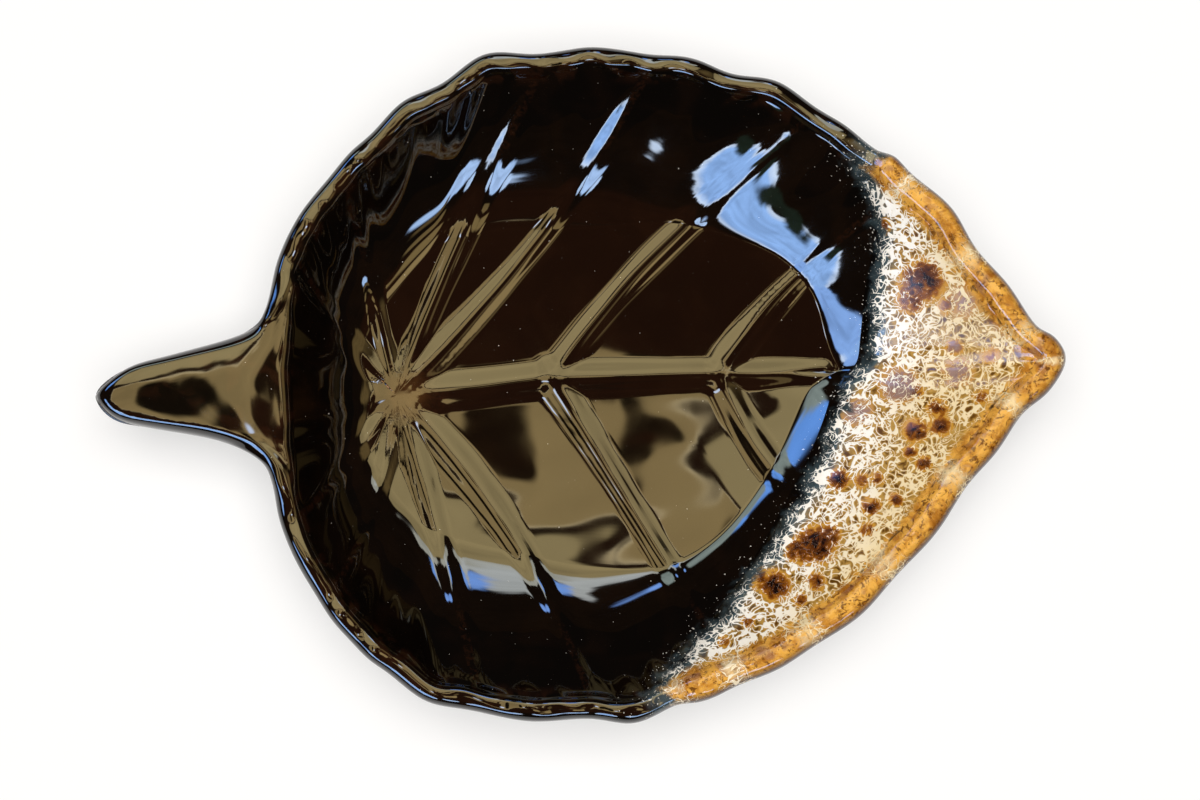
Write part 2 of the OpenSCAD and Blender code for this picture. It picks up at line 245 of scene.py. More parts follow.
@dataclass
class LeafPlan:
    """Plan of the leaf: its rim, stem, midrib and the lines between them, in millimetres."""

    stem_length: float = 43.0
    stem_width: float = 18.0
    blade_length: float = 199.0
    tip_glaze: float = 0.8
    lip_width: float = 6.0
    lip_ripple: float = 0.28
    root_swell: float = 3.0
    root_blend: float = 12.0
    stem_axis_y: float = -1.5
    stem_wall_run: float = 20.0
    no_froth: float = -40.0
    least_floor: float = 0.02
    tip_relax: float = 5.0
    tip_reach: float = 16.0
    tip_curve: float = 1.25
    side_curve: float = 2.1
    crease_rows: tuple[float, float] = (4.0, 7.0)
    half_sectors: int = 268
    stem_sectors: int = 104
    per_span: int = 32
    tangent_step: int = 4
    stem_rows: tuple[tuple[float, float], ...] = (
        (0.01, 1.1), (0.13, 0.78), (0.52, 0.5), (0.81, 0.3), (1.0, -0.06),
        (0.9, -0.42), (0.67, -0.55), (0.28, -0.72), (0.035, -1.0), (-0.04, -1.33),
    )
    midrib: tuple[tuple[float, float], ...] = (
        (140.0, 4.5), (133.0, 4.5), (124.0, 4.0), (114.0, 4.0),
        (93.0, 3.5), (71.0, 3.0), (51.0, 0.5), (31.0, -1.5),
    )
    vein_rows: tuple[int, ...] = (3, 5, 7, 8, 11, 12)
    # Reach of the softening of each line, in samples.
    soften: ClassVar[dict[str, float]] = {
        "outer": 5, "rim": 5, "inner": 7, "run": 52, "froth": 16, "bow": 16, "dip": 6, "curve": 16}

    def __post_init__(self) -> None:
        """Work out the sampled lines."""
        self.root_x = (self.stem_length - self.blade_length - self.tip_glaze) / 2
        self.last = len(UPPER_ROWS) - 1
        self.controls = 4 * self.last + len(self.stem_rows) + 1
        self.hub = np.array(self.placed(*self.midrib[-1]))
        self._fine = self._fine_lines()
        places = self._sector_places()
        lines = {name: self._pick(values, places) for name, values in self._fine.items()}
        self.outer, self.rim, inner = lines["outer"], lines["rim"], lines["inner"]
        self.start, self.run, self.froth = lines["start"], lines["run"], lines["froth"]
        self.bow, self.curve, self.dip = lines["bow"], lines["curve"], lines["dip"]
        near_tip = 1.0 - ease(span(inner - inner[0]) / self.tip_reach)
        self.inner = mix(inner, smooth_loop(inner, self.tip_relax), near_tip[:, None])
        self.stem_share = ease(span(self.outer - self.rim) / self.root_blend)
        self.floor_share = np.maximum(
            1.0 - self.run / span(self.inner - self.start), self.least_floor)

    def placed(self, x: float, y: float) -> tuple[float, float]:
        """Move a point from the rim at the stem to the plate's own frame."""
        return (self.root_x + x, y)

    def _half(self, rows: tuple[RimRow, ...], side: float) -> list[Control]:
        """List the notches and lobe crests of one half.

        Args:
            rows: The notches of the half, from the tip to the stem.
            side: 1 for the upper half and -1 for the lower one.

        Returns:
            Their control points, in the same order.
        """
        out = []
        for k, row in enumerate(rows):
            near = self.midrib[min(k, len(self.midrib) - 1)]
            out.append(Control(self.placed(row.x, row.y), row.wall_run, row.froth_run,
                               row.bow * side, self.placed(*near), 1.0, float(k)))
            if k == self.last:
                break
            after = rows[k + 1]
            beyond = self.midrib[min(k + 1, len(self.midrib) - 1)]
            ax, ay = after.x - row.x, after.y - row.y
            out_by = side * row.swell / math.hypot(ax, ay)
            crest = (row.x + after.x) / 2 + ay * out_by, (row.y + after.y) / 2 - ax * out_by
            out.append(Control(
                self.placed(*crest),
                (row.wall_run + after.wall_run) / 2, (row.froth_run + after.froth_run) / 2,
                (row.bow + after.bow) / 2 * side,
                self.placed((near[0] + beyond[0]) / 2, (near[1] + beyond[1]) / 2), 0.0, k + 0.5))
        return out

    def _fine_lines(self) -> dict[str, np.ndarray]:
        """Sample every line around the leaf finely and soften its kinks.

        Returns:
            The lines by name.
        """
        upper, lower = self._half(UPPER_ROWS, 1.0), self._half(LOWER_ROWS, -1.0)
        a, b = np.array(upper[-1].point), np.array(lower[-1].point)
        plain = (self.stem_wall_run, self.no_froth, 0.0, tuple(self.hub), 0.0, float(self.last))
        stem, root = [], []
        for n, (along, across) in enumerate(self.stem_rows):
            f = (n + 1) / (len(self.stem_rows) + 1)
            bridge = mix(a, b, f) - (4 * self.root_swell * f * (1 - f), 0.0)
            stem.append(Control((self.root_x - along * self.stem_length,
                                 self.stem_axis_y + across * self.stem_width), *plain))
            root.append(Control(tuple(bridge), *plain))
        back = lower[:0:-1]
        edge, rim = upper + stem + back, upper + root + back
        lines = {"outer": self._curve(edge, "point"), "rim": self._curve(rim, "point")}
        for name in ("run", "froth", "bow", "dip"):
            lines[name] = self._curve(rim, name)[:, 0]
        rows = self._straight(np.array([[item.row] for item in rim]))[:, 0]
        first, end = self.crease_rows
        lines["curve"] = mix(self.tip_curve, self.side_curve, ease((rows - first) / (end - first)))
        lines = {name: smooth_loop(line, self.soften[name]) for name, line in lines.items()}
        ahead, behind = (np.roll(lines["rim"], step, axis=0)
                         for step in (-self.tangent_step, self.tangent_step))
        inward = unit(turned(ahead - behind))
        inner = smooth_loop(lines["rim"] + inward * self.lip_width, self.soften["inner"])
        lines["inner"] = inner + inward * self.lip_ripple * ripple(inner)[:, None]
        lines["start"] = self._straight(np.array([item.start for item in rim]))
        return lines

    def _curve(self, controls: list[Control], name: str) -> np.ndarray:
        """Sample one value of the control points along a smooth closed curve."""
        points = np.array([np.atleast_1d(getattr(item, name)) for item in controls])
        return closed_spline(points, self.per_span)

    def _straight(self, points: np.ndarray) -> np.ndarray:
        """Sample a closed line straight from point to point.

        Args:
            points: The points of the line.

        Returns:
            The samples, starting at the first point.
        """
        f = (np.arange(self.per_span) / self.per_span)[None, :, None]
        after = np.roll(points, -1, axis=0)[:, None]
        return mix(points[:, None], after, f).reshape(-1, points.shape[1])

    def _pick(self, values: np.ndarray, places: np.ndarray) -> np.ndarray:
        """Read a finely sampled line between its samples.

        Args:
            values: The samples of the line.
            places: Places on it, counted in control points.

        Returns:
            One value for each place.
        """
        count = len(values)
        spot = places * self.per_span
        low = np.floor(spot + 1e-9).astype(int)
        share = spot - low
        if values.ndim > 1:
            share = share[:, None]
        return mix(values[low % count], values[(low + 1) % count], share)

    def _evenly(self, ends: tuple[int, int], lines: tuple[str, str], count: int,
                mirrored: bool) -> np.ndarray:
        """Share places out evenly by the length of two lines together.

        Args:
            ends: First and last place, counted in control points.
            lines: Names of the two lines.
            count: Number of steps.
            mirrored: Whether the second line is read on the other half.

        Returns:
            The places.
        """
        fine = np.linspace(*ends, (ends[1] - ends[0]) * self.per_span + 1)
        other = self.controls - fine if mirrored else fine
        step = sum(span(np.diff(self._pick(self._fine[name], at), axis=0))
                   for name, at in zip(lines, (fine, other)))
        length = np.concatenate([[0.0], np.cumsum(step)])
        return np.interp(np.linspace(0.0, length[-1], count + 1), length, fine)

    def _sector_places(self) -> np.ndarray:
        """Choose the sector lines, mirrored in both halves so that these share the midrib.

        Returns:
            The places of the lines, counted in control points.
        """
        end = 2 * self.last
        half = self._evenly((0, end), ("rim", "rim"), self.half_sectors, True)
        stem = self._evenly((end, self.controls - end), ("outer", "rim"), self.stem_sectors, False)
        return np.concatenate([half, stem[1:-1], (self.controls - half)[:0:-1]])

    @staticmethod
    def bowed(start: np.ndarray, end: np.ndarray, bow: np.ndarray, s: np.ndarray) -> np.ndarray:
        """Place points at shares s of lines that bend by bow on their way from start to end."""
        d = end - start
        return start + d * s + unit(turned(d)) * bow * 4 * s * (1 - s)

    def line(self, share: np.ndarray) -> np.ndarray:
        """Place a point on every sector line, at its share of the way to the lip."""
        return self.bowed(self.start, self.inner, self.bow[:, None], share[:, None])

    def vein_line(self, row: int, side: float, count: int = 60) -> np.ndarray:
        """Follow one side vein from the midrib to the lip.

        Args:
            row: Notch that the vein runs to.
            side: 1 for the upper half and -1 for the lower one.
            count: Number of points.

        Returns:
            The points of the vein.
        """
        place = np.array([2.0 * row if side > 0 else self.controls - 2.0 * row])
        start, inner, bow = (self._pick(self._fine[n], place) for n in ("start", "inner", "bow"))
        return self.bowed(start, inner, bow, np.linspace(0.0, 1.0, count)[:, None])

    def midrib_line(self, count: int = 90) -> np.ndarray:
        """Follow the midrib from the hub to the crease at the tip.

        Args:
            count: Number of points.

        Returns:
            The points of the midrib.
        """
        points = np.array([self.placed(*p) for p in self.midrib[::-1]])
        length = np.concatenate([[0], np.cumsum(span(np.diff(points, axis=0)))])
        at = np.linspace(0.0, length[-1], count)
        return np.stack([np.interp(at, length, points[:, k]) for k in (0, 1)], axis=1)


@dataclass(frozen=True)
class Rib:
    """One raised vein: its line in plan, and its half width and height along it."""

    line: np.ndarray
    half_width: np.ndarray
    height: np.ndarray
    margin: ClassVar[float] = 8.0
    batch: ClassVar[int] = 4000

    def profile(self, points: np.ndarray) -> tuple[np.ndarray, np.ndarray]:
        """Measure the rib beside plan points.

        Args:
            points: The plan points.

        Returns:
            The share of the rib's height at each point, and the rib's height beside it.
        """
        share, height = np.zeros(len(points)), np.zeros(len(points))
        low, high = self.line.min(axis=0) - self.margin, self.line.max(axis=0) + self.margin
        near = np.nonzero(((points > low) & (points < high)).all(axis=1))[0]
        for part in np.array_split(near, max(1, len(near) // self.batch)):
            if not len(part):
                continue
            k = np.argmin(span(points[part][:, None] - self.line[None]), axis=1)
            a = self.line[np.maximum(k - 1, 0)]
            b = self.line[np.minimum(k + 1, len(self.line) - 1)]
            reach = 0.5 * span(b - a)
            off = points[part] - self.line[k]
            slide = np.clip((off * unit(b - a)).sum(axis=1), -reach, reach)
            gap = span(off - unit(b - a) * slide[:, None])
            q = np.clip(gap / self.half_width[k], 0.0, 1.0)
            share[part] = 0.5 * (1.0 + np.cos(math.pi * q))
            height[part] = self.height[k]
        return share, height


@dataclass
class DishSurface:
    """Finished surface of the plate over its plan, in millimetres.

    Fields named wobble and ripple are how strongly the hand made unevenness shows there.
    """

    plan: LeafPlan
    rim_height: float = 32.0
    foot_height: float = 2.0
    floor_thickness: float = 4.3
    wall_thickness: float = 5.0
    floor_dish: float = 1.8
    foot_kick: float = 0.04
    foot_turn: float = 0.006
    foot_reach: float = 0.15
    foot_flare: float = 0.55
    lip_drop: float = 3.2
    shoulder: float = 1.8
    shoulder_run: float = 1.8
    steepest: float = 2.4
    notch_dip: float = 0.8
    lip_turn: float = 1.9
    lip_crown: float = 0.55
    lip_top_gap: float = 0.3
    short_floor: float = 40.0
    stem_thickness: float = 12.0
    stem_end_run: float = 14.0
    stem_round: float = 0.4
    stem_flat: float = 0.78
    stem_crown: float = 0.1
    stem_calm: float = 0.9
    calm_run: float = 4.0
    relax: float = 9.0
    keel_relax: float = 16.0
    keel_reach: float = 28.0
    midrib_height: float = 0.52
    midrib_end_height: float = 0.42
    midrib_rise: float = 0.1
    midrib_half_width: float = 6.0
    midrib_end_half_width: float = 4.2
    vein_height: float = 0.52
    vein_end_height: float = 0.45
    vein_half_width: float = 5.6
    vein_end_half_width: float = 3.0
    vein_swell: float = 0.13
    vein_taper: float = 0.8
    vein_fade: float = 0.9
    slim_rows: int = 8
    slim_share: float = 0.8
    vein_end: float = 0.86
    hub_radius: float = 9.0
    hub_height: float = 0.52
    hub_flat: float = 3.0
    hub_shift: float = 2.5
    rib_cap: float = 1.0
    floor_wobble: float = 0.08
    wall_wobble: float = 0.09
    edge_wobble: float = 0.12
    wall_ripple: float = 0.05
    edge_ripple: float = 0.1
    lip_ripple: float = 0.09
    floor_crowd: float = 1.15
    wall_crowd: float = 1.5
    base_centre: tuple[float, float] = (82.0, -3.0)
    base_half: tuple[float, float] = (61.0, 47.0)

    def __post_init__(self) -> None:
        """Work out the levels and the ribs."""
        plan = self.plan
        self.floor_z = self.foot_height + self.floor_thickness
        floor_run = np.maximum(span(plan.inner - plan.start) - plan.run, 1.0)
        floor_run = smooth_loop(floor_run, self.relax)
        self.dish = self.floor_dish * np.clip(floor_run / self.short_floor, 0.0, 1.0)
        self.foot_slope = 2.0 * self.dish / floor_run
        self.wall_foot_z = self.floor_z + self.dish
        self.rim_z = self.rim_height - self.notch_dip * plan.dip
        self.shoulder_z = self.rim_z - self.shoulder
        self.edge_z = self.rim_z - mix(self.lip_drop, self.stem_thickness / 2, plan.stem_share)
        self.full = np.ones(len(plan.run))
        self.at_tip = 1.0 - ease(span(plan.inner - plan.inner[0]) / self.keel_reach)
        self.low_z = mix(
            self.under_wall_z(self.full), self.rim_z - self.stem_thickness, plan.stem_share)
        self.ribs = self._make_ribs()

    def _make_ribs(self) -> list[Rib]:
        """Lay out the midrib and the side veins.

        Returns:
            The ribs, the midrib first.
        """
        plan = self.plan
        line = plan.midrib_line()
        s = np.linspace(0.0, 1.0, len(line))
        ribs = [Rib(line, mix(self.midrib_half_width, self.midrib_end_half_width, s),
                    mix(self.midrib_height, self.midrib_end_height, s)
                    * ease((s + 0.01) / self.midrib_rise))]
        for row in plan.vein_rows:
            for side in (1.0, -1.0):
                line = plan.vein_line(row, side)
                s = np.linspace(0.0, 1.0, len(line))
                rise = ease((span(line - plan.hub) + 1.0) / self.hub_radius)
                fade = 1.0 - ease((s - self.vein_fade) / (1.0 - self.vein_fade))
                slim = self.slim_share if row > self.slim_rows else 1.0
                slim = slim * (1.0 + self.vein_swell * np.sin(6.0 * s + 1.9 * row + side))
                taper = s ** self.vein_taper
                ribs.append(Rib(
                    line, mix(self.vein_half_width, self.vein_end_half_width, taper) * slim,
                    mix(self.vein_height, self.vein_end_height, s) * rise * fade * slim))
        return ribs

    def crests(self, points: np.ndarray) -> np.ndarray:
        """Say how near plan points lie to the crest of a rib."""
        return np.max([rib.profile(points)[0] for rib in self.ribs], axis=0)

    def vein_rise(self, points: np.ndarray) -> np.ndarray:
        """Join the rises of all ribs softly.

        Args:
            points: The plan points.

        Returns:
            The rise at each point.
        """
        total = np.zeros(len(points))
        for rib in self.ribs:
            share, height = rib.profile(points)
            total += (share * height) ** 4
        q = (span(points - self.plan.hub - (self.hub_shift, 0.0)) - self.hub_flat) / self.hub_radius
        total += (self.hub_height * (1.0 - ease(q))) ** 4
        joined = total**0.25
        return joined / (1.0 + (joined / self.rib_cap) ** 6) ** (1.0 / 6.0)

    def wall_z(self, w: np.ndarray) -> np.ndarray:
        """Work out the bare wall, which leaves the floor at the floor's own slope.

        Args:
            w: Share of the wall's run, for each sector.

        Returns:
            One height for each sector.
        """
        a, b = self.foot_turn, self.foot_reach
        both = a * b / (a + b)
        foot = b * (1.0 - np.exp(-w / b)) - both * (1.0 - np.exp(-w / both))
        start = self.plan.run * (self.foot_slope * w + self.foot_kick * foot)
        rise = self.shoulder_z - self.wall_foot_z - self.plan.run * (
            self.foot_slope + self.foot_kick * (b - both))
        return self.wall_foot_z + start + rise * w ** self.plan.curve

    def wall_slope(self, w: np.ndarray) -> np.ndarray:
        """Work out how steep the bare wall is.

        Args:
            w: Share of the wall's run, for each sector.

        Returns:
            One slope for each sector.
        """
        c = self.plan.curve
        # The kick at the foot lifts the wall so little that the rise leaves it out here.
        rise = self.shoulder_z - self.wall_foot_z - self.foot_slope * self.plan.run
        kick = self.foot_kick * (1.0 - np.exp(-w / self.foot_turn)) * np.exp(-w / self.foot_reach)
        return self.foot_slope + kick + c * w ** (c - 1.0) * rise / self.plan.run

    @staticmethod
    def lifted(points: np.ndarray, heights: np.ndarray) -> np.ndarray:
        """Join plan points and heights."""
        return np.concatenate([points, heights[:, None]], axis=1)

    def floor_ring(self, f: float) -> np.ndarray:
        """Shape one ring of the floor.

        Args:
            f: Share of the way from the midrib to the wall.

        Returns:
            One point for each sector.
        """
        p = smooth_loop(self.plan.line(self.plan.floor_share * f), self.relax * f * f)
        z = self.floor_z + self.dish * f * f + self.vein_rise(p) + self.floor_wobble * wobble(p)
        return self.lifted(p, z)

    def wall_ring(self, w: float) -> np.ndarray:
        """Shape one ring of the wall.

        Args:
            w: Share of the way from the floor to the lip.

        Returns:
            One point for each sector.
        """
        line = self.plan.line(mix(self.plan.floor_share, 1.0, w))
        p = smooth_loop(line, self.relax * (1.0 - w))
        p = mix(p, smooth_loop(p, self.keel_relax), (self.at_tip * 4.0 * w * (1.0 - w))[:, None])
        keep = 1.0 - float(ease((w - self.vein_end) / (1.0 - self.vein_end)))
        z = self.wall_z(self.full * w) + self.vein_rise(p) * keep
        rough = mix(self.floor_wobble, self.wall_wobble, w) * wobble(p)
        return self.lifted(p, z + rough + (self.wall_ripple * ripple(p) - self.lip_top_gap) * w**4)

    def lip_ring(self, u: float) -> np.ndarray:
        """Shape one ring over the lip and the back of the stem.

        Args:
            u: Share of the way from the lip's inner to its outer edge.

        Returns:
            One point for each sector.
        """
        plan = self.plan
        p = mix(plan.inner, plan.outer, u)
        from_inner, gap = span(p - plan.inner), span(plan.outer - p)
        t = np.clip(from_inner / self.shoulder_run, 0.0, 1.0)
        fall = self.shoulder - self.lip_crown
        slope = self.wall_slope(self.full) - 4.0 * self.lip_crown / plan.lip_width
        slope = np.minimum(slope * self.shoulder_run, self.steepest * fall)
        inner_drop = fall * (1.0 - t * t * (3.0 - 2.0 * t)) - slope * t * (1.0 - t) ** 2
        outside = 1.0 - np.clip(gap / self.lip_turn, 0.0, 1.0)
        outer_drop = (self.rim_z - self.edge_z) * (1.0 - np.sqrt(1.0 - outside**2))
        crown = self.lip_crown * np.minimum(np.abs(from_inner - gap) / plan.lip_width, 1.0) ** 2
        on_stem = plan.stem_share * ease(from_inner / plan.root_blend)
        z = mix(self.rim_z - inner_drop - outer_drop - crown, self.stem_dome(p), on_stem)
        waves = mix(self.wall_ripple, self.edge_ripple, u) + self.lip_ripple * math.sin(math.pi * u)
        rough = mix(self.wall_wobble, self.edge_wobble, u) * wobble(p) + waves * ripple(p)
        calm = 1.0 - self.stem_calm * plan.stem_share * ease(from_inner / self.calm_run)
        return self.lifted(p, z + rough * calm - self.lip_top_gap)

    def stem_dome(self, p: np.ndarray) -> np.ndarray:
        """Work out the stem's rounded back.

        Args:
            p: One plan point for each sector.

        Returns:
            One height for each sector.
        """
        first = self.plan.half_sectors
        outline = self.plan.outer[first:first + self.plan.stem_sectors + 1]
        tip = int(np.argmin(outline[:, 0]))
        upper, lower = outline[:tip + 1][::-1], outline[tip:]
        high = np.interp(p[:, 0], np.maximum.accumulate(upper[:, 0]), upper[:, 1])
        low = np.interp(p[:, 0], np.maximum.accumulate(lower[:, 0]), lower[:, 1])
        across = np.abs(2.0 * p[:, 1] - high - low) / np.maximum(high - low, 0.1)
        across = np.clip(across, 0.0, 1.0)
        along = np.clip((p[:, 0] - outline[tip, 0]) / self.stem_end_run, 0.0, 1.0)
        away = np.minimum((across**3 + (1.0 - along) ** 3) ** (1.0 / 3.0), 1.0)
        turn = np.clip((away - self.stem_flat) / (1.0 - self.stem_flat), 0.0, 1.0)
        fall = self.stem_crown * away**2 + (1.0 - self.stem_crown) * (1.0 - np.sqrt(1.0 - turn**2))
        return mix(self.edge_z, self.rim_z, 1.0 - fall)

    def under_wall_z(self, w: np.ndarray) -> np.ndarray:
        """Height of the outer wall at a share of the inner wall's run."""
        thick = self.wall_thickness * np.sqrt(1.0 + self.wall_slope(w) ** 2)
        return np.maximum(self.wall_z(w) - thick, self.foot_height)

    def under_ring(self, u: float) -> np.ndarray:
        """Shape one ring below the lip and the stem.

        Args:
            u: Share of the way from the lip's inner to its outer edge.

        Returns:
            One point for each sector.
        """
        p = mix(self.plan.inner, self.plan.outer, u)
        v = np.clip((1.0 - u) / mix(1.0, self.stem_round, self.plan.stem_share), 0.0, 1.0)
        z = mix(self.edge_z, self.low_z, np.sqrt(1.0 - (1.0 - v) ** 2))
        rough = self.edge_wobble * wobble(p) + self.edge_ripple * ripple(p)
        calm = 1.0 - self.stem_calm * self.plan.stem_share
        return self.lifted(p, z + calm * rough - self.lip_top_gap)

    def base_points(self) -> np.ndarray:
        """Find where the sector lines cross the oval edge of the base.

        Returns:
            One plan point for each sector.
        """
        centre = np.array(self.plan.placed(*self.base_centre))
        a = (self.plan.start - centre) / self.base_half
        d = (self.plan.inner - centre) / self.base_half - a
        dd = (d * d).sum(axis=1)
        half = (a * d).sum(axis=1) / dd
        s = -half + np.sqrt(half**2 - ((a * a).sum(axis=1) - 1.0) / dd)
        return mix(self.plan.start, self.plan.inner, s[:, None])

    def outer_ring(self, g: float) -> np.ndarray:
        """Shape one ring of the outer wall.

        Args:
            g: Share of the way from below the lip down to the base.

        Returns:
            One point for each sector.
        """
        p = mix(self.plan.inner, self.base_points(), g)
        w = np.clip(1.0 - span(self.plan.inner - p) / self.plan.run, 0.0, 1.0)
        hold = (1.0 - g) ** 3 * (self.low_z - self.under_wall_z(self.full))
        flat = ease((g - self.foot_flare) / (1.0 - self.foot_flare))
        return self.lifted(p, mix(self.under_wall_z(w) + hold, self.foot_height, flat))

    def top_rings(self, floor: int, wall: int, lip: int) -> np.ndarray:
        """Sample the whole upper surface from the midrib to the outer edge.

        Args:
            floor: Number of steps over the floor.
            wall: Number of steps up the wall.
            lip: Number of steps over the lip.

        Returns:
            Points by ring and sector.
        """
        turn = np.linspace(0.0, math.pi, lip + 1)[1:]
        rings = [self.floor_ring(f) for f in np.linspace(0.0, 1.0, floor + 1) ** self.floor_crowd]
        up = np.linspace(0.0, 1.0, wall + 1)[1:] ** self.wall_crowd
        rings += [self.wall_ring(w) for w in up]
        rings += [self.lip_ring(u) for u in (1 - np.cos(turn)) / 2]
        return np.array(rings)

    def under_rings(self, lip: int, wall: int) -> np.ndarray:
        """Sample the under side from below the outer edge down to the base.

        Args:
            lip: Number of steps below the lip.
            wall: Number of steps down the outer wall.

        Returns:
            Points by ring and sector, without the outer edge itself.
        """
        inwards = np.linspace(0.0, 1.0, lip + 1)[1:] ** self.wall_crowd
        rings = [self.under_ring(1.0 - f) for f in inwards]
        rings += [self.outer_ring(g) for g in np.linspace(0.0, 1.0, wall + 1)[1:]]
        return np.array(rings)


def grid_normals(rings: np.ndarray) -> np.ndarray:
    """Work out outward normals of a grid of rings.

    Args:
        rings: Points by ring and sector, the sectors closing on themselves.

    Returns:
        One unit vector for each point.
    """
    around = np.roll(rings, -1, axis=1) - np.roll(rings, 1, axis=1)
    across = np.empty_like(rings)
    across[1:-1] = rings[2:] - rings[:-2]
    across[0], across[-1] = rings[1] - rings[0], rings[-1] - rings[-2]
    normal = np.cross(across, around)
    size = span(normal)[..., None]
    return np.where(size > 1e-9, normal / np.maximum(size, 1e-9), np.array([0.0, 0.0, 1.0]))


def loft(name: str, rings: np.ndarray, traits: dict[Trait, np.ndarray],
         closed: bool = True) -> bpy.types.Object:
    """Wrap a grid primitive over rings of points and close its seams.

    Args:
        name: Name of the new piece.
        rings: Points by ring and sector, in millimetres.
        traits: Values by ring and sector to keep as point attributes.
        closed: Whether the last sector meets the first.

    Returns:
        The new piece.
    """
    if closed:
        rings = np.concatenate([rings, rings[:, :1]], axis=1)
        traits = {k: np.concatenate([v, v[:, :1]], axis=1) for k, v in traits.items()}
    rows, columns = rings.shape[:2]
    bpy.ops.object.select_all(action="DESELECT")
    bpy.ops.mesh.primitive_grid_add(x_subdivisions=columns - 1, y_subdivisions=rows - 1, size=1.0)
    piece = bpy.context.object
    mesh = piece.data
    piece.name = mesh.name = name
    start = np.empty(len(mesh.vertices) * 3)
    mesh.vertices.foreach_get("co", start)
    start = start.reshape(-1, 3)
    i = np.rint((start[:, 0] + 0.5) * (columns - 1)).astype(int)
    j = np.rint((start[:, 1] + 0.5) * (rows - 1)).astype(int)
    mesh.vertices.foreach_set("co", (rings[j, i] * MM).ravel())
    for trait, values in traits.items():
        layer = mesh.attributes.new(trait.value, "FLOAT", "POINT")
        layer.data.foreach_set("value", values[j, i].astype(np.float32))
    mesh.update()
    bpy.ops.object.mode_set(mode="EDIT")
    bpy.ops.mesh.select_all(action="SELECT")
    bpy.ops.mesh.remove_doubles(threshold=MERGE)
    bpy.ops.mesh.normals_make_consistent(inside=False)
    bpy.ops.object.mode_set(mode="OBJECT")
    bpy.ops.object.shade_smooth()
    return piece


def linear(hex_colour: str) -> tuple[float, float, float, float]:
    """Turn an sRGB hex colour into linear RGBA.

    Args:
        hex_colour: The colour, with its leading #.

    Returns:
        Red, green, blue and a full alpha.
    """
    values = [int(hex_colour[k:k + 2], 16) / 255.0 for k in (1, 3, 5)]
    out = [v / 12.92 if v <= 0.04045 else ((v + 0.055) / 1.055) ** 2.4 for v in values]
    return (*out, 1.0)


def add(tree: Tree, kind: str, inputs: dict | None = None, out: int | str = 0,
        **settings: str) -> Socket | None:
    """Add one shader node.

    Args:
        tree: Node tree to add to.
        kind: Node type, without its ShaderNode prefix.
        inputs: Values, hex colours or sockets to put on its inputs, by name or number.
        out: Output to hand back, by name or number.
        **settings: Properties of the node.

    Returns:
        That output of the new node, where it has one.
    """
    node = tree.nodes.new("ShaderNode" + kind)
    for key, value in settings.items():
        setattr(node, key, value)
    for key, value in (inputs or {}).items():
        if isinstance(value, Socket):
            tree.links.new(value, node.inputs[key])
        else:
            node.inputs[key].default_value = linear(value) if isinstance(value, str) else value
    return node.outputs[out] if len(node.outputs) else None


@dataclass(frozen=True)
class Mark:
    """One kind of natural mark: its size in millimetres, finer octaves, swirl and roughness."""

    size: float
    detail: float = 3.0
    swirl: float = 0.5
    rough: float = 0.5


@dataclass(frozen=True)
class Coat:
    """One colour laid over others where a mask climbs from low to high."""

    mask: Socket
    low: float
    high: float
    colour: str | Socket
    most: float = 1.0


class Finish:
    """What all finishes share: a fresh material, marks of a real size, and coats of colour."""

    marks: ClassVar[dict[str, Mark]] = {}

    def start(self, name: str) -> tuple[bpy.types.Material, Tree, dict[str, Socket]]:
        """Start a material and draw the marks of this finish.

        Args:
            name: Name of the material.

        Returns:
            The material, its node tree, and the marks with the place they are drawn at.
        """
        material = bpy.data.materials.new(name)
        material.use_nodes = True
        tree = material.node_tree
        tree.nodes.clear()
        place = add(tree, "TexCoord", out="Object")
        drawn = {key: add(tree, "TexNoise", {
            "Vector": place, "Scale": 1.0 / MM / mark.size, "Detail": mark.detail,
            "Distortion": mark.swirl, "Roughness": mark.rough}) for key, mark in self.marks.items()}
        return material, tree, {"place": place, **drawn}

    @staticmethod
    def lay(tree: Tree, under: str | Socket, coats: tuple[Coat, ...]) -> Socket:
        """Lay coats of colour over one another.

        Args:
            tree: Node tree to add to.
            under: The colour below them all.
            coats: The coats, the lowest first.

        Returns:
            The colour on top.
        """
        for coat in coats:
            share = add(tree, "MapRange", {
                0: coat.mask, 1: coat.low, 2: coat.high, 4: coat.most}, **SMOOTH)
            under = add(tree, "Mix", {0: share, 6: under, 7: coat.colour}, 2, data_type="RGBA")
        return under


@dataclass(frozen=True)
class Pour:
    """What the coats of a glaze read: its tree, marks and traits, and masks made from them.

    edge grows from the froth's border inwards, eye, plum and heart from the rims of the
    eyes to their middles, and nearest from the middle of a thread to either side.
    """

    tree: Tree
    mark: dict[str, Socket]
    trait: dict[Trait, Socket]
    edge: Socket
    eye: Socket
    plum: Socket
    heart: Socket
    on_lip: Socket
    nearest: Socket


